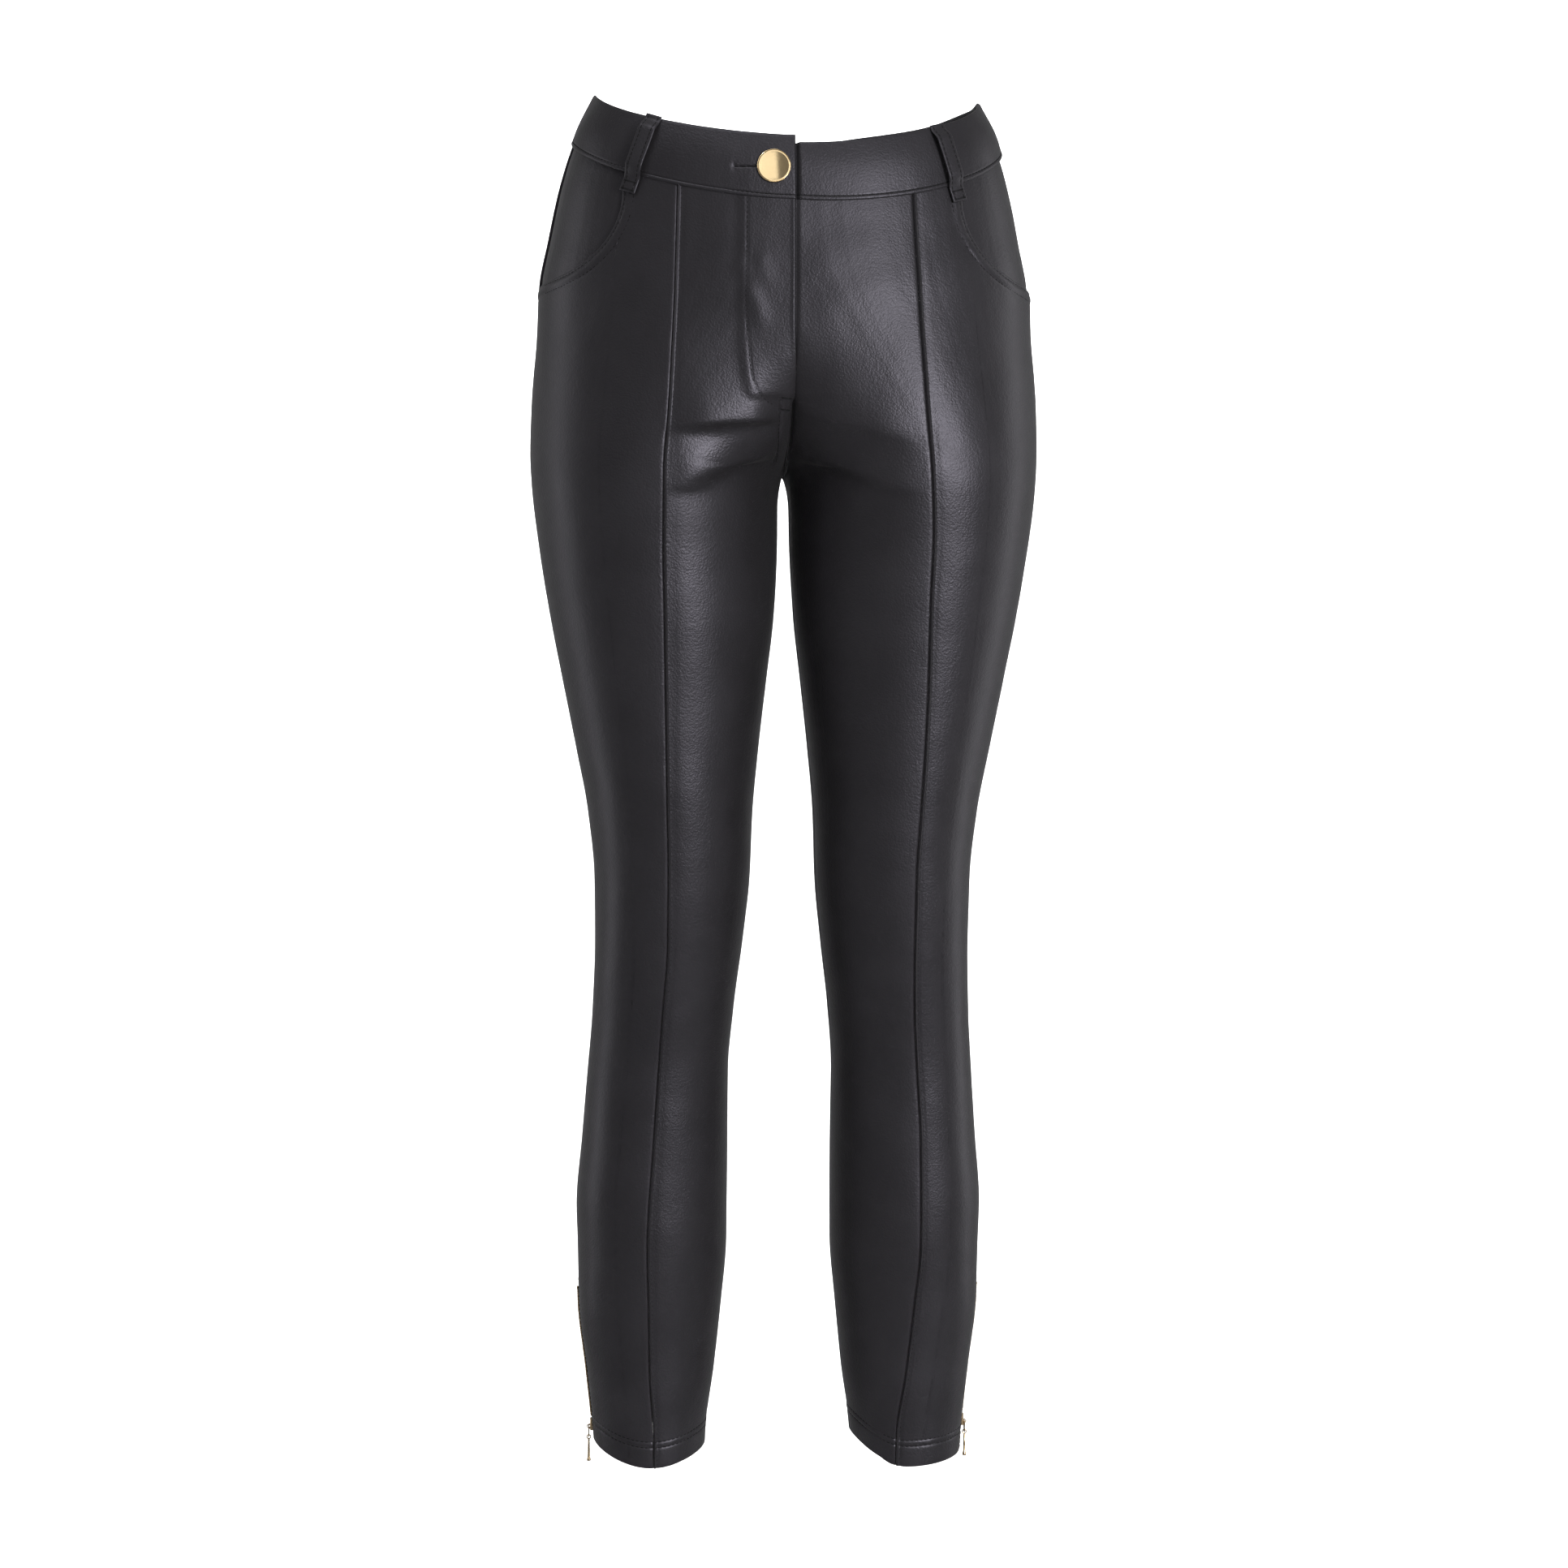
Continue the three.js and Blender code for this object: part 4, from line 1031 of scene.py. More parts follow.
button = {
    "fromEdge": 14.6, "z": -31, "radius": 11.2, "height": 1.9, "shankRadius": 2.6,
    "rim": 0.5, "rimHeight": 0.3, "dish": 0.45,
}
buttonhole = {"length": 26.5, "slit": 0.5, "depth": 1.3, "eyeWidth": 1.3, "eyeHeight": 2.4,
              "drawn": 0.2, "drawnWidth": 3.2}
# Round the band: mm on from its lower or upper edge, and how far out it stands
bandEdges = {
    "low": [(0, -1.0), (0.15, -0.6), (0.5, -0.2), (1.1, 0.08), (1.8, 0.1), (2.4, 0.0),
            (band["stitch"], -seam["stitchDip"]), (3.4, 0.0), (4.2, 0.1)],
    "middle": (5.2, -2.6, 0.12),
    "high": [(-1.6, 0.02), (-0.9, -0.2), (-0.35, -0.55), (-0.05, -0.95), (0, -1.2)],
    "inside": [(1, -0.05, -1.45), (1, -0.35, -1.85), (1, -0.9, -2.2), (1, -2, -2.4),
               (0.66, 0, -2.4), (0.33, 0, -2.4), (0, 1.2, -2.4), (0, 0.3, -2.1), (0, 0, -1.6)],
}
endSteps = (0, 0.06, 0.2, 0.42, 0.75, 1.2, 1.9)      # how a cut end is rounded
bandColumns = {"near": 22, "nearStep": 1.5, "fine": 46, "fineStep": 0.7, "length": 196, "back": 56,
               "closeIn": 3.2, "step": (0.4, 1.0, 1.8, 2.8, 4, 5.5, 7, 9, 12), "on": 14, "lap": 3}


def bandSection(rows):
    # rows of (share of the height, mm on from there, how far out), and how many are outside
    edges = bandEdges
    start, end, out = edges["middle"]
    middle = [(k / rows, mix(start, end, k / rows), out + band["crown"] * math.sin(math.pi * k / rows))
              for k in range(rows + 1)]
    outside = [(0, *row) for row in edges["low"]] + middle + [(1, *row) for row in edges["high"]]
    return np.array(outside + edges["inside"]), len(outside)


def endCaps(rows, columns):
    # strips that close a loop's flattened first and last sections
    caps = []
    for column, turned in ((0, False), (columns - 1, True)):
        ring = [r * columns + column for r in range(rows)]
        strips = [(ring[k], ring[k + 1], ring[-k - 2], ring[-k - 1]) for k in range(rows // 2 - 1)]
        if rows % 2:
            strips.append(tuple(ring[rows // 2 - 1:rows // 2 + 2]))
        caps += [face[::-1] if turned else face for face in strips]
    return caps


def loopPiece(name, node, grid, flip):
    # a strip whose section is a closed loop, with both ends closed
    size = grid.shape[:2]
    faces = gridFaces(*size, flip=flip, closedRows=True) + endCaps(*size)
    piece = makeMesh(name, [grid.reshape(-1, 3)], [faces], [leather])
    sewn(piece, node)


def bandPiece(name, node, parts, front, rows, relief=None):
    # parts are the stretches of the band: a side, its columns and how far each is moved out
    section, outerRows = bandSection(rows)
    shares, offsets, outs = (column[:, None] for column in section.T)
    lows = [np.array([waistSeamHeight(side, c) + halfGap for c in columns])
            for side, columns, _ in parts]
    tall = [np.array([bandHeight(side, c, front) for c in columns]) for side, columns, _ in parts]
    middles = [clothAt(side, placesOf(columns), low + high / 2)[0]
               for (side, columns, _), low, high in zip(parts, lows, tall)]
    steps = np.linalg.norm(np.diff(np.concatenate(middles), axis=0), axis=1)
    run = np.concatenate([[0], np.cumsum(steps)])
    fromEnd = np.minimum(np.minimum(run, run[-1] - run) / band["endRadius"], 1)
    fullness = np.sqrt(1 - (1 - fromEnd) ** 2)
    core = -band["thickness"] / 2
    grids, first = [], 0
    for (side, columns, movedOut), low, high in zip(parts, lows, tall):
        full = fullness[first:first + len(columns)]
        first += len(columns)
        z = low + offsets + shares * high
        out = np.array(movedOut) + core + (outs - core) * full
        points, facings = clothAt(side, placesOf(columns, len(section)), z.ravel(), out.ravel())
        if relief:
            outside = np.repeat(np.arange(len(section)) < outerRows, len(columns))
            points = points + facings * (relief(points) * outside)[:, None]
        grids.append(points.reshape(len(section), -1, 3))
    grid = np.concatenate(grids, axis=1)
    loopPiece(name, node, grid, parts[-1][0]["sign"] > 0)


def buttonholeRelief(points):
    # the cut of the buttonhole, its round end, and the cloth drawn in round it
    shape, x, z = buttonhole, points[:, 0], points[:, 2]
    start = -button["fromEdge"]
    end = start - shape["length"]
    along = smooth(x, end - 0.3, end + 0.5) * (1 - smooth(x, start - 0.5, start + 0.5))
    cut = along * bell(z, button["z"], shape["slit"])
    eye = bell(x, end, shape["eyeWidth"]) * bell(z, button["z"], shape["eyeHeight"])
    drawn = shape["drawn"] * along * bell(z, button["z"], shape["drawnWidth"])
    return -shape["depth"] * np.maximum(cut, 0.6 * eye) - drawn


def makeWaistband():
    outside, thickness, lapWidth = band["outside"], band["thickness"], band["underlap"]
    shape = bandColumns
    steps = round((shape["length"] - shape["fine"]) / cloth["columnStep"])

    def onwards(start):
        # on to the side seam, closing in on it
        columns = [("front", "side", k / steps, mix(start, -shape["closeIn"], k / steps))
                   for k in range(steps)]
        return columns + [fromSeam("side", -halfGap - d) for d in reversed(endSteps)]

    near = [*endSteps, *np.arange(3, shape["near"], shape["nearStep"]),
            *np.arange(shape["near"], shape["fine"], shape["fineStep"])]
    columns = [fromSeam("front", d) for d in near] + onwards(shape["fine"])
    whole = (right, columns, [outside] * len(columns))
    bandPiece("waistbandPiece_right", "waistband_right", [whole], right, band["frontRows"],
              buttonholeRelief)

    # the left front runs on under the right one
    under = outside - thickness - 0.3
    lap = [*(lapWidth - d for d in endSteps), *np.arange(lapWidth - 4, 1, -shape["lap"]), 0.4]
    step = shape["step"]
    columns = [fromSeam("front", d) for d in step] + onwards(shape["on"])
    rise = [mix(under, outside, float(smooth(d, step[0], band["stepWidth"]))) for d in step]
    movedOut = rise + [outside] * (len(columns) - len(step))
    lapped = (right, [fromSeam("front", d) for d in lap], [under] * len(lap))
    bandPiece("waistbandPiece_left", "waistband_left", [lapped, (left, columns, movedOut)], left,
              band["backRows"])

    count = shape["back"]
    half = [fromSeam("side", halfGap + d) for d in endSteps]
    half += [("side", "end", k / count, shape["closeIn"] * (1 - k / count)) for k in range(1, count)]
    movedOut = [outside] * (len(half) + 1)
    bandPiece("waistbandPiece_back", "waistband_back",
              [(left, half + [fromSeam("end", 0)], movedOut), (right, half[::-1], movedOut[1:])],
              left, band["backRows"])


makeWaistband()
print("waistband made")


# Belt loops

loop = {
    "width": 11, "thickness": 1.5, "topIn": 3.4, "below": 13.5, "stitchIn": 2.1,
    "standOff": 4, "seated": 0.3, "rise": (0.16, 0.34), "fall": (0.8, 0.95),
}
beltLoops = [
    {"node": "belt_loop_1", "side": right, "face": "front", "x": 110, "lean": 18},
    {"node": "belt_loop_2", "side": left, "face": "front", "x": 111, "lean": 16},
    {"node": "belt_loop_3", "side": right, "face": "back", "x": 92, "lean": 8},
    {"node": "belt_loop_4", "side": left, "face": "back", "x": 92, "lean": 8},
    {"node": "belt_loop_5", "side": left, "face": "back", "x": 0, "lean": 0},
]


def loopEnds(row):
    # a belt loop's lower and upper end
    side, level = row["side"], outlineAt(row["side"], 0)

    def columnAt(share):
        x = row["x"] - row["lean"] * share
        return fromSeam("front", float(distanceAtX(level, x, row["face"])[0]))

    seamHeight = waistSeamHeight(side, columnAt(0.3))
    top = seamHeight + bandHeight(side, columnAt(0.8), side) - loop["topIn"]
    return seamHeight - loop["below"], top


def loopPoints(row, share, across, lift):
    # points over the band at shares of the loop's height and width, lifted off it
    low, top = loopEnds(row)
    outward = 1 if row["face"] == "front" else -1
    z = mix(low, top, share) + outward * across * loop["width"] * row["lean"] / (top - low)
    stand = smooth(share, *loop["rise"]) * (1 - smooth(share, *loop["fall"]))
    out = band["outside"] + loop["seated"] + stand * loop["standOff"] + lift

    def place(outline):
        middle = distanceAtX(outline, row["x"] - row["lean"] * share, row["face"])
        return middle + across * loop["width"]

    def placeAtBack(outline):
        return outline["end"] - np.abs(across) * loop["width"]

    if row["x"]:
        return clothAt(row["side"], place, z, out)
    points, facings = clothAt(left, placeAtBack, z, out)
    mirror = np.where(across < 0, -1, 1)
    points[:, 0] *= mirror
    facings[:, 0] *= mirror
    return points, facings


def makeBeltLoop(row):
    edge = loop["stitchIn"] / loop["width"]
    # across the loop's face and back: shares of its width and thickness
    half = [(0.5, 0.5), (0.485, 0.8), (0.45, 0.95), (0.5 - edge * 0.55, 1.02), (0.5 - edge, 0.86),
            (0.5 - edge * 1.5, 1.0), (0.1, 1.04)]
    under = [(0.485, 0.2), (0.44, 0.03), (0.15, 0)]
    section = [(-a, d) for a, d in half] + half[::-1] + under + [(-a, d) for a, d in under[::-1]]
    across, depth = np.array(section).T
    ends = np.array([0, 0.003, 0.009, 0.02, 0.035])
    shares = np.concatenate([ends, np.linspace(0.05, 0.17, 6), np.linspace(0.18, 0.3, 14),
                             np.linspace(0.33, 0.84, 18), np.linspace(0.855, 0.96, 13),
                             1 - ends[3::-1]])
    fromEnd = np.clip(np.minimum(shares, 1 - shares) / 0.02, 0, 1)
    fullness = np.sqrt(1 - (1 - fromEnd) ** 2)
    lift = loop["thickness"] * (0.5 + (depth[:, None] - 0.5) * fullness)
    share = np.broadcast_to(shares, lift.shape)
    points, _ = loopPoints(row, share.ravel(), np.repeat(across, len(shares)), lift.ravel())
    flip = (row["side"]["sign"] > 0) == (row["x"] == 0)
    loopPiece(row["node"].replace("belt_loop_", "beltLoop"), row["node"],
              points.reshape(*lift.shape, 3), flip)


for row in beltLoops:
    makeBeltLoop(row)
print("belt loops made")


# Button

def circle(count):
    return [(math.cos(a), math.sin(a)) for a in (k / count * 2 * math.pi for k in range(count))]


def tubeFaces(rings, around, first=0, closed=False):
    return gridFaces(rings, around, first, True, closed, True)


def latheGrid(profile, around):
    profile, turn = np.array(profile), np.array(circle(around))
    x, y = (profile[:, :1] * turn[:, k] for k in (0, 1))
    return np.stack([x, y, np.broadcast_to(profile[:, 1:], x.shape)], axis=2)


def axesAt(point, x, y, z):
    return Matrix.Translation(Vector(point)) @ Matrix((x, y, z)).transposed().to_4x4()


def placed(points, matrix):
    turn = np.array(matrix)
    return points.reshape(-1, 3) @ turn[:3, :3].T + turn[:3, 3]


def makeButton():
    shape = button
    seat, normal = bareCloth(right, placesOf([fromSeam("front", shape["fromEdge"])]), shape["z"])
    facing = Vector(normal[0]).normalized()
    across = Vector((0, 0, 1)).cross(facing).normalized()
    inner, base = band["outside"] - band["thickness"], band["outside"] + 0.5
    radius, rim, shank = shape["radius"], shape["rim"], shape["shankRadius"]
    top = base + shape["height"]
    profile = [(0, inner), (shank, inner), (shank, base), (radius - 1.4, base),
               (radius - 0.5, base + 0.15), (radius - 0.1, base + 0.5), (radius, base + 1.0),
               (radius, top - 0.35), (radius - 0.12, top - 0.08), (radius - 0.27, top),
               (radius - rim + 0.12, top - 0.01), (radius - rim, top - 0.1),
               (radius - rim - 0.12, top - shape["rimHeight"])]
    face, rings = radius - rim - 0.2, 12
    for r in (face * (1 - k / rings) for k in range(rings + 1)):
        dish = shape["dish"] * (1 - (r / face) ** 2)
        profile.append((r, top - shape["rimHeight"] + 0.02 - dish))
    grid = latheGrid(profile, 96)
    points = placed(grid, axesAt(seat[0], across, facing.cross(across), facing))
    piece = makeMesh("shankButton", [points], [tubeFaces(*grid.shape[:2])], [polishedGold])
    fitted(piece, "trousers", "button")


makeButton()
print("button made")


# Ankle zips

zipper = {"proud": 1.1, "pitch": 1.57, "tooth": (1.5, 2.7, 0.72), "toothOff": 0.72,
          "stop": (1.5, 3.6, 2.2), "stopZ": -796.2, "sliderZ": -894.5, "sliderLength": 8.4}
# Along a tooth: how far along, how tall and how deep; it ends in a bead
toothStations = [(-0.5, 0.55, 0.6), (-0.44, 0.85, 0.85), (-0.2, 1, 0.95), (0.2, 0.86, 0.95),
                 (0.3, 1.05, 1), (0.42, 1.0, 0.92), (0.5, 0.6, 0.6)]
toothCorners = [(-1, -0.6), (-1, 0.6), (-0.5, 1), (0.5, 1)]
toothCorners += [(-x, -z) for x, z in toothCorners]
stopStations = [(along, size, size) for along, size in (
    (-0.5, 0.55), (-0.42, 0.85), (-0.25, 1), (0.25, 1), (0.42, 0.85), (0.5, 0.55))]
zipTape = {"width": 14, "thickness": 1.0, "clearance": 0.8, "columns": 22, "rows": 52,
           "above": 6, "hemGap": 1}
pull = {"linkLength": 7.6, "linkTop": 5.4, "linkBottom": 3.4, "wire": 0.9, "bend": 0.5,
        "ring": 1.35, "ringWire": 0.45, "shaftTop": 0.7, "shaftBottom": 0.95, "length": 17.2,
        "flare": 1.5}


def seamFrame(side, z, out):
    # on the side seam: local +X out of the cloth, +Y to the back, +Z up along the seam
    place = placesOf([fromSeam("side", 0)] * 2)
    points, facings = bareCloth(side, place, np.array([z, z + 2.0]))
    up, ahead = Vector(points[1] - points[0]).normalized(), Vector(facings[0])
    ahead = (ahead - up * ahead.dot(up)).normalized()
    return axesAt(Vector(points[0]) + ahead * out, ahead, up.cross(ahead), up)


def blockGrid(size, stations, corners):
    # rings of corners along local +Y, standing out along +X
    deep, wide, tall = size
    return np.array([[(deep / 2 * thick * x, wide * along, tall / 2 * high * z)
                      for x, z in corners] for along, high, thick in stations])


def blockFaces(rings, around, first=0):
    last = first + (rings - 1) * around
    return tubeFaces(rings, around, first) + [tuple(range(first + around - 1, first - 1, -1)),
                                              tuple(range(last, last + around))]


def makeTeeth(side):
    tooth = blockGrid(zipper["tooth"], toothStations, toothCorners)
    size, top = tooth.shape[:2], zipper["stopZ"] - 1.2
    low = zipper["sliderZ"] + zipper["sliderLength"] / 2 + 0.5
    out = zipper["proud"] - zipper["tooth"][0] / 2
    grids, faces = [], []
    for k in range(int((top - low) / zipper["pitch"])):
        for row in (-1, 1):
            z = top - (k + (0.25 if row < 0 else 0.75)) * zipper["pitch"]
            block = tooth * np.array([1, -row, 1]) + np.array([0, row * zipper["toothOff"], 0])
            faces += blockFaces(*size, len(grids) * size[0] * size[1])
            grids.append(placed(block[::-row], seamFrame(side, z, out)))
    piece = makeMesh("zipTeeth_" + side["name"], grids, [faces], [zipGold])
    fitted(piece, "trousers", "zip_chain_" + side["name"])


def makeTape(side):
    half = zipTape["width"] / 2
    columns = [fromSeam("side", d) for d in np.linspace(-half, half, zipTape["columns"])]
    low = hemHeight(side, fromSeam("side", 0)) + zipTape["hemGap"]

    def heights(side, column):
        return np.linspace(zipGap["top"] + zipTape["above"], low, zipTape["rows"])

    underlay("zipTape_" + side["name"], "zip_tape_" + side["name"], [(side, columns)],
             zipTape["rows"], heights, zipTape, [tapeWeave, tapeWeave])


def makeTopStop(side):
    # a bent metal clip that closes the chain at its top
    grid = blockGrid(zipper["stop"], stopStations, circle(12))
    place = seamFrame(side, zipper["stopZ"], zipper["proud"] - zipper["stop"][0] / 2 + 0.25)
    faces = blockFaces(*grid.shape[:2])
    fitted(makeMesh("zipStop_" + side["name"], [placed(grid, place)], [faces], [zipGold]),
           "trousers")


def finishSlider(side):
    # the slider keeps its made form, with its edges broken
    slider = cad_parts["zip_slider_" + side["name"]]
    slider.data.materials.clear()
    slider.data.materials.append(zipGold)
    edge = slider.modifiers.new("brokenEdges", "BEVEL")
    edge.width, edge.segments, edge.limit_method = 0.25 * mm, 2, "ANGLE"


def sweep(path, width, normal, around=10):
    # a round wire bent into a closed ring in one plane
    path, normal = [Vector(point) for point in path], Vector(normal)
    rings = []
    for k, point in enumerate(path):
        ahead = (path[(k + 1) % len(path)] - path[k - 1]).normalized()
        across = ahead.cross(normal).normalized()
        rings.append([point + (across * x + normal * y) * width / 2 for x, y in circle(around)])
    return np.array(rings).reshape(-1, 3), tubeFaces(len(path), around, closed=True)


def roundedCorners(corners, radius, steps=5):
    # a closed path through flat corners, each rounded off
    path = []
    corners = [Vector(corner) for corner in corners]
    for k, corner in enumerate(corners):
        before, after = corners[k - 1], corners[(k + 1) % len(corners)]
        a = corner + (before - corner).normalized() * radius
        b = corner + (after - corner).normalized() * radius
        for t in (j / steps for j in range(steps + 1)):
            path.append(a.lerp(corner, t).lerp(corner.lerp(b, t), t))
    return path


def makePull(side):
    # a wire link that hangs in the slider, and a tapered drop that hangs in the link
    shape, name, wire, length = pull, side["name"], pull["wire"], pull["linkLength"]
    low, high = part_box("pull_link_" + name)
    top = Vector(((low[0] + high[0]) / 2, (low[1] + high[1]) / 2, high[2])) / mm
    top -= Vector((0, 0, wire / 2))
    upper, lower = ((shape[end] - wire) / 2 for end in ("linkTop", "linkBottom"))
    corners = [(0, -upper, 0), (0, upper, 0), (0, lower, -length), (0, -lower, -length)]
    points, faces = sweep(roundedCorners(corners, shape["bend"]), wire, (1, 0, 0))
    link = makeMesh("pullLink_" + name, [points + np.array(top)], [faces], [zipGold])
    fitted(link, "link_" + name, "pull_link_" + name)

    foot = np.array(top - Vector((0, 0, length)))
    path = [(shape["ring"] * x, 0, shape["ring"] * z) for x, z in circle(28)]
    ring, faces = sweep(path, shape["ringWire"] * 2, (0, 1, 0))
    low, high, flare = -shape["length"], -shape["ring"] - 0.1, shape["flare"]
    thin, thick = shape["shaftTop"], shape["shaftBottom"]
    profile = [(0, low), (flare * 0.6, low), (flare * 0.9, low + 0.18), (flare, low + 0.6),
               (flare * 0.97, low + 1.4), (flare * 0.8, low + 2.2), (thick, low + 3.2),
               (mix(thick, thin, 0.5), low / 2), (thin, high - 0.2), (thin * 0.6, high + 0.1),
               (0, high + 0.15)]
    shaft = latheGrid(profile, 24)
    faces += tubeFaces(*shaft.shape[:2], len(ring))
    grids = [ring + foot, shaft.reshape(-1, 3) + foot]
    drop = makeMesh("pullDrop_" + name, grids, [faces], [zipGold])
    fitted(drop, "drop_" + name, "pull_drop_" + name)


for side in (right, left):
    makeTape(side)
    makeTeeth(side)
    makeTopStop(side)
    finishSlider(side)
    makePull(side)
print("ankle zips made")


# Stitching

stitch = {"pitch": 3.2, "share": 0.8, "width": 0.62, "height": 0.42, "sink": 0.06}
# Along a stitch: where, how thick and how high
stitchRings = [(-0.5, 0.35, -0.5), (-0.4, 0.8, 0.1), (-0.15, 1, 0.5)]
stitchRings += [(-where, size, rise) for where, size, rise in reversed(stitchRings)]
stitchAround = 6
# Dense stitches lie across their row: pitch, width and length
denseStitches = {"tack": (0.8, 0.6, 1.6), "buttonhole": (0.75, 0.5, 1.5), "eye": (0.6, 0.5, 1.3),
                 "loop": (0.75, 0.5, 1.4)}


def stitchesAlong(points, facings, pitch=stitch["pitch"], width=stitch["width"], turn=0):
    # a short sunken bead of thread for each stitch of a row; turn lays them across it
    run = np.concatenate([[0], np.cumsum(np.linalg.norm(np.diff(points, axis=0), axis=1))])
    count = max(1, int(run[-1] / pitch))
    at = (np.arange(count) + 0.5) * run[-1] / count

    def along(values, where):
        return np.stack([np.interp(where, run, values[:, k]) for k in range(3)], axis=1)

    centre, up = along(points, at), along(facings, at)
    ahead = along(points, at + 0.3) - along(points, at - 0.3)
    ahead = ahead / np.linalg.norm(ahead, axis=1)[:, None]
    across = np.cross(up, ahead)
    if turn:
        ahead, across = across, ahead
    length = turn or pitch * stitch["share"]
    bead = []
    for where, size, rise in stitchRings:
        for x, z in circle(stitchAround):
            lift = (z * size / 2 + rise * 0.5) * stitch["height"] - stitch["sink"]
            bead.append(centre + ahead * where * length + across * x * size * width / 2 + up * lift)
    return np.stack(bead, axis=1).reshape(-1, 3)


def stitchPiece(name, rows):
    # all the stitches of one part of the trousers, joined into one piece
    grids = [stitchesAlong(*row) for row in rows]
    each = len(stitchRings) * stitchAround
    faces = []
    for first in range(0, sum(len(grid) for grid in grids), each):
        faces += tubeFaces(len(stitchRings), stitchAround, first)
    fitted(makeMesh(name, grids, [faces], [thread]), "trousers")


def rowOn(side, panel, place, z, hems=-900):
    # a row of stitches on a panel, with the panel's own relief
    outline = outlineAt(side, z)
    out = panelOut(side, panel, outline, place(outline), z - hems)
    return clothAt(side, place, z, out)


def columnRow(side, panel, column, top):
    # down a column to the hem
    hemZ = hemHeight(side, column)
    low = hemZ + 0.8
    z = np.linspace(top, low, max(3, round((top - low) / 2)))
    return rowOn(side, panel, placesOf([column], len(z)), z, hemZ)


def levelRow(side, panel, columns, z=None, above=0):
    # across a panel, level or a distance above its hem
    hems = np.array([hemHeight(side, column) for column in columns])
    heights = hems + above if z is None else np.full(len(columns), z)
    return rowOn(side, panel, placesOf(columns), heights, hems)


def legRows(side):
    # beside the welt of the front leg seam
    offset, panel = seam["valleyAt"], side["weltOn"]
    column = onPanel("centre", 1, -offset) if panel == "centre" else onPanel("side", 0, offset)
    rows = [columnRow(side, panel, column, waistSeamHeight(side, column) - 0.8)]
    # round the hem
    for panel, count in (("centre", 60), ("side", 40), ("back", 90)):
        inset = 0.6 if panel == "centre" else zipGap["width"] / 2 + 0.6
        columns = [onPanel(panel, k / count, inset * (1 - 2 * k / count)) for k in range(count + 1)]
        rows += [levelRow(side, panel, columns, above=above) for above in hem["stitches"]]
    # down both sides of the ankle zip, and across above it
    away, top = zipGap["width"] / 2 + zipGap["stitch"], zipGap["top"] + 5
    for panel, way in (("side", -1), ("back", 1)):
        rows.append(columnRow(side, panel, fromSeam("side", way * away), top))
    for panel, way in (("side", -1), ("back", 1)):
        columns = [fromSeam("side", way * d) for d in np.linspace(away, 0.4, 6)]
        rows.append(levelRow(side, panel, columns, top))
    return rows


def pocketRows(side):
    # down from the waist, then round the pocket's edge to the side seam
    rows = []
    reach, top = pocketReach(side), pocketTop(side)
    for grow in pocket["stitches"]:
        column = onPanel("side", sideShare(side, pocket["x"] - grow, pocket["z"]))
        upper = np.linspace(waistSeamHeight(side, column) - 0.8, top, 6)[:-1]
        angles = np.radians(np.arange(0, 88, 2))
        x = reach - (reach - pocket["x"] + grow) * np.cos(angles)
        z = top - (pocket["depth"] + grow) * np.sin(angles)
        keep = x < outerAt(z) - 0.6
        z = np.concatenate([upper, z[keep]])
        curve = np.concatenate([np.full(len(upper), np.nan), x[keep]])
        straight = placesOf([column], len(z))

        def place(outline):
            bent = distanceAtX(outline, np.nan_to_num(curve), "front")
            return np.where(np.isnan(curve), straight(outline), bent)

        rows.append(rowOn(side, "side", place, z))
    return rows


def flyRows():
    def frontRow(x, z):
        return rowOn(right, "centre", lambda outline: distanceAtX(outline, x, "front"), z)

    z = np.linspace(jTable["z"][-1] + 1, jTable["z"][0], 90)
    rows = [frontRow(np.abs(jAt(z)), z)]
    z = np.linspace(fly["tacks"][0], crotch["z"] + 3, 30)
    rows += [frontRow(0 * z + aside, z) for aside in fly["crotchStitches"]]
    # the dense bar tacks that close the fly
    x = np.linspace(*fly["crotchStitches"], 8)
    return rows + [(*frontRow(x, 0 * x + z), *denseStitches["tack"]) for z in fly["tacks"]]


def bandRows():
    rows = []
    for side, ends, offsets, count in (
            (right, ("front", "side"), (1.6, -1.2), 90), (left, ("front", "side"), (1.6, -1.2), 90),
            (left, ("side", "end"), (1.2, 0), 80), (right, ("side", "end"), (1.2, 0), 80)):
        columns = [(*ends, k / count, mix(*offsets, k / count)) for k in range(count + 1)]
        z = np.array([waistSeamHeight(side, c) + halfGap + band["stitch"] for c in columns])
        rows.append(clothAt(side, placesOf(columns), z, band["outside"] - 0.2))
    return rows


def buttonholeRows():
    # overcast with short stitches across both lips, and round the end
    def lipRow(x, z, out, kind):
        points = clothAt(right, lambda outline: distanceAtX(outline, -x, "front"), z,
                         band["outside"] + out)
        return (*points, *denseStitches[kind])

    start = -button["fromEdge"] - button["radius"] - 1.4
    end = -button["fromEdge"] - buttonhole["length"]
    x = np.linspace(start, end, 24)
    rows = [lipRow(x, button["z"] + lip + 0.0 * x, -0.05, "buttonhole") for lip in (-0.85, 0.85)]
    angles = np.linspace(math.pi / 2, math.pi * 1.5, 14)
    return rows + [lipRow(end + 1.3 * np.cos(angles), button["z"] + 2.7 * np.sin(angles), 0, "eye")]


def loopRows():
    rows = []
    edge, thickness = 0.5 - loop["stitchIn"] / loop["width"], loop["thickness"]
    share, across = np.linspace(0.02, 0.98, 60), np.linspace(-0.42, 0.42, 10)
    for row in beltLoops:
        rows += [loopPoints(row, share, 0 * share + aside, 0 * share + thickness * 0.93)
                 for aside in (-edge, edge)]
        rows += [(*loopPoints(row, 0 * across + low, across, 0 * across + thickness * 1.02),
                  *denseStitches["loop"]) for low in (0.03, 0.13)]
    return rows


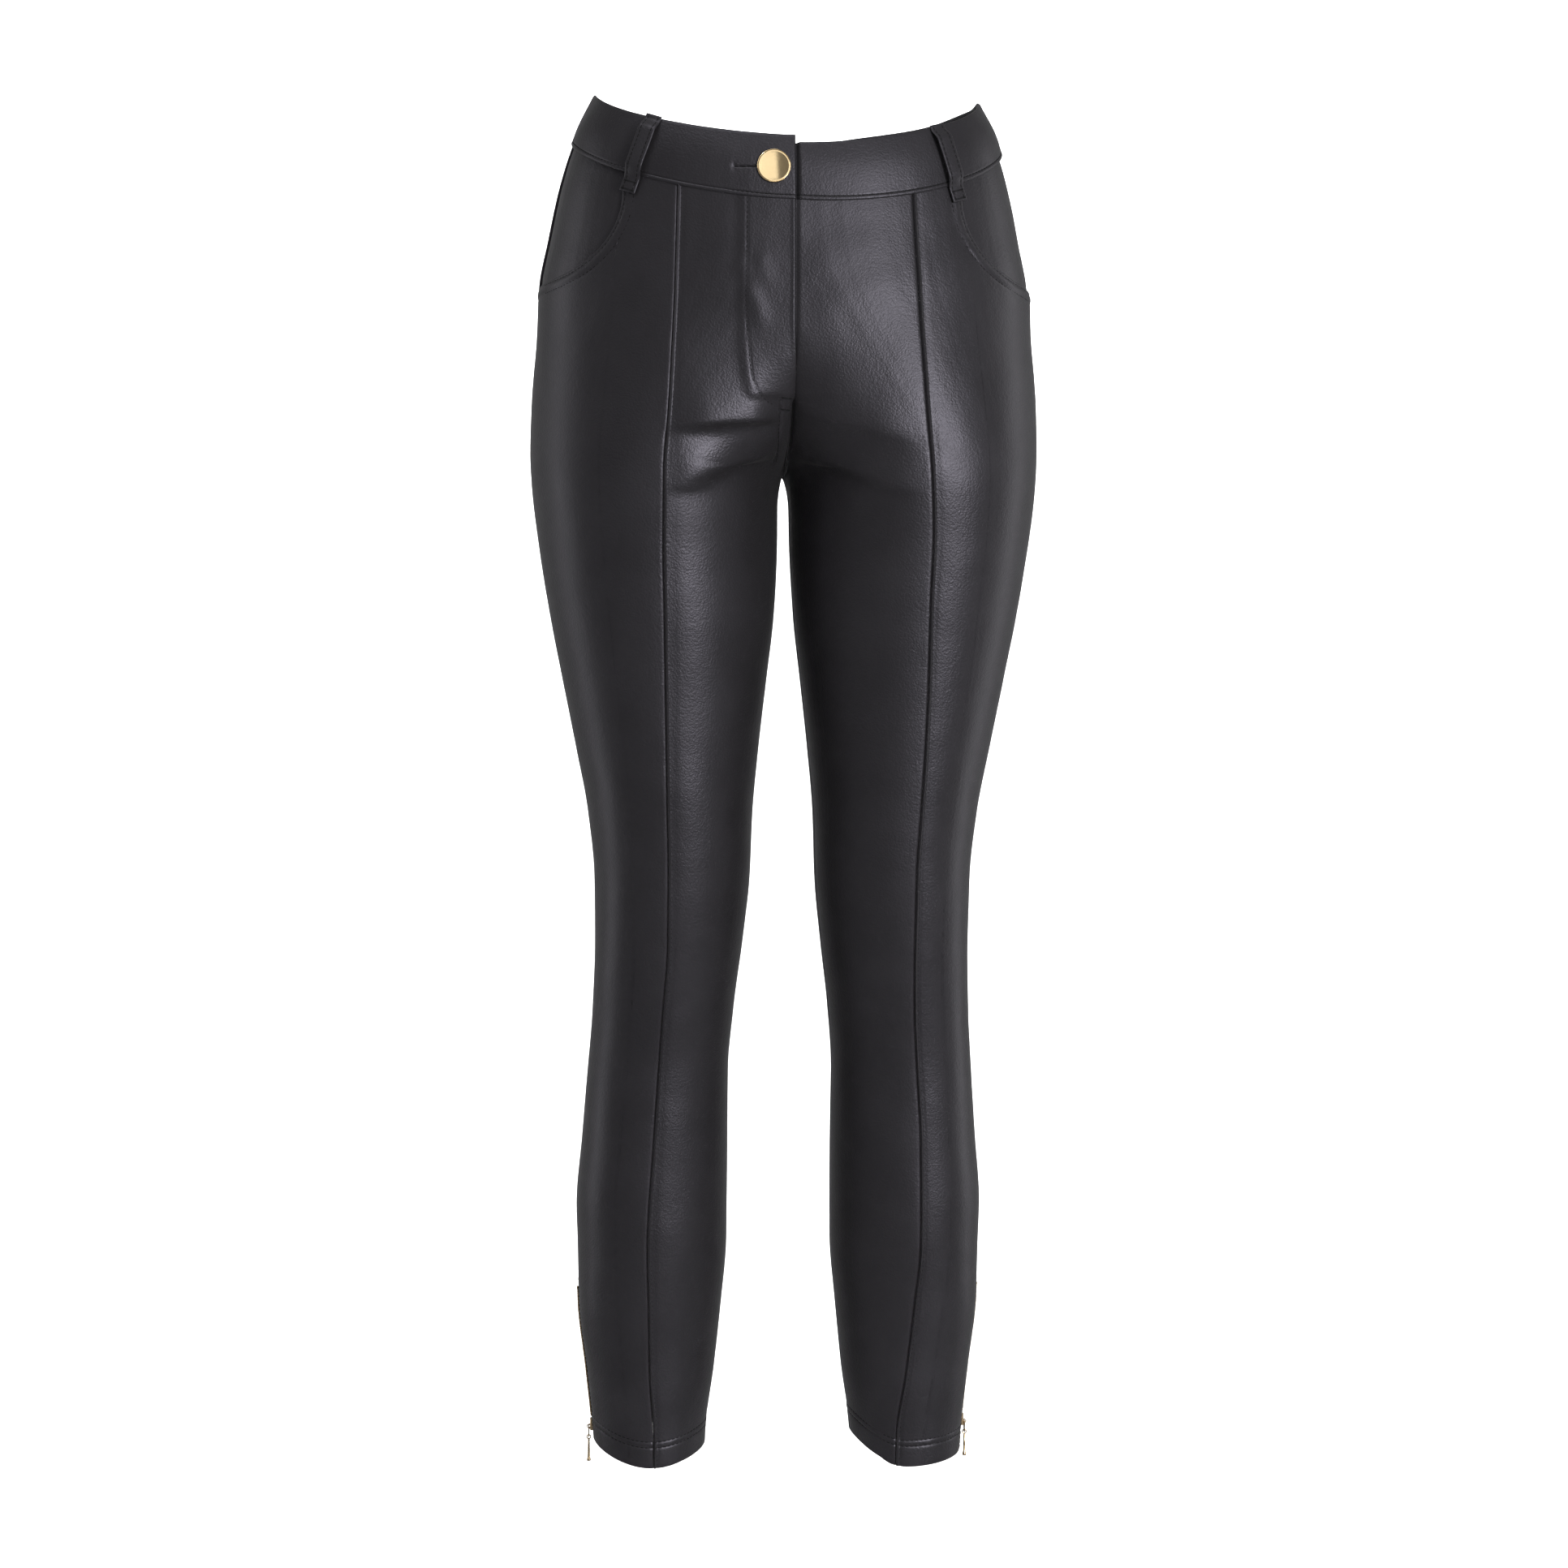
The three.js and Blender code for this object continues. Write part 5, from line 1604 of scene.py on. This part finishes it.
stitchPiece("bandStitching", bandRows() + buttonholeRows())
stitchPiece("loopStitching", loopRows())
stitchPiece("flyStitching", flyRows())
for side in (right, left):
    stitchPiece("legStitching_" + side["name"], legRows(side) + pocketRows(side))
print("stitching made")


# Studio

studio = {
    "floor": -1300, "floorFront": -900, "wall": 2700, "coveRadius": 500, "halfWidth": 3200,
    "wallTop": 2600, "world": 0.18, "paper": ((0.93, 0.93, 0.93), (0.95, 0.95, 0.95)),
}
# place and target in mm, size in mm and watts
softboxes = {
    "key": {"at": (1330, -2350, -400), "to": (0, 0, -400), "size": (500, 600), "power": 38},
    "fill": {"at": (1050, -2500, 650), "to": (0, 0, -100), "size": (1000, 950), "power": 15},
    "card": {"at": (230, -2500, 870), "to": (0, -110, -30), "size": (500, 800), "power": 1.25},
    "rimLeft": {"at": (-1900, 500, -300), "to": (0, 0, -450), "size": (700, 2000), "power": 6},
    "rimRight": {"at": (1900, 500, -300), "to": (0, 0, -450), "size": (700, 2000), "power": 7},
    "top": {"at": (-300, -900, 1600), "to": (0, 0, -200), "size": (1400, 900), "power": 10},
    "wash": {"at": (0, 1100, 2300), "to": (0, 2700, 1820), "size": (3600, 900), "power": 370},
}


def paperMaterial():
    look = newLook("paper")
    fibre = texture(look, "Noise", {"Scale": 60.0, "Detail": 3.0})
    return finished(look, {"Base Color": tones(look, fibre, studio["paper"]), "Roughness": 0.9,
                           "Specular IOR Level": 0.0})


def makeBackdrop():
    # a pale floor that curves up into the wall
    floor, wall, radius = studio["floor"], studio["wall"], studio["coveRadius"]
    profile = [(studio["floorFront"], floor)]
    for angle in (k / 12 * math.pi / 2 for k in range(13)):
        y, z = wall - radius * (1 - math.sin(angle)), floor + radius * (1 - math.cos(angle))
        profile.append((y, z))
    profile.append((wall, studio["wallTop"]))
    ends = (-studio["halfWidth"], studio["halfWidth"])
    points = np.array([[x, y, z] for y, z in profile for x in ends])
    faces = [(k, k + 1, k + 3, k + 2) for k in range(0, 2 * len(profile) - 2, 2)]
    backdrop = makeMesh("backdrop", [points], [faces], [paperMaterial()])
    backdrop.visible_glossy = False      # as dark flags keep the paper out of the reflections


def makeSoftboxes():
    for name, box in softboxes.items():
        light = bpy.data.lights.new(name, "AREA")
        light.shape, light.energy = "RECTANGLE", box["power"]
        light.size, light.size_y = (length * mm for length in box["size"])
        lamp = bpy.data.objects.new(name, light)
        lamp.location = Vector(box["at"]) * mm
        aim = Vector(box["to"]) - Vector(box["at"])
        lamp.rotation_euler = aim.to_track_quat("-Z", "Y").to_euler()
        bpy.context.collection.objects.link(lamp)


def makeWorld():
    world = bpy.data.worlds.new("studio")
    world.use_nodes = True
    background = world.node_tree.nodes["Background"]
    background.inputs["Color"].default_value = (1, 1, 1, 1)
    background.inputs["Strength"].default_value = studio["world"]
    bpy.context.scene.world = world
    bpy.context.scene.view_settings.view_transform = "Standard"


makeBackdrop()
makeSoftboxes()
makeWorld()
print("studio made")
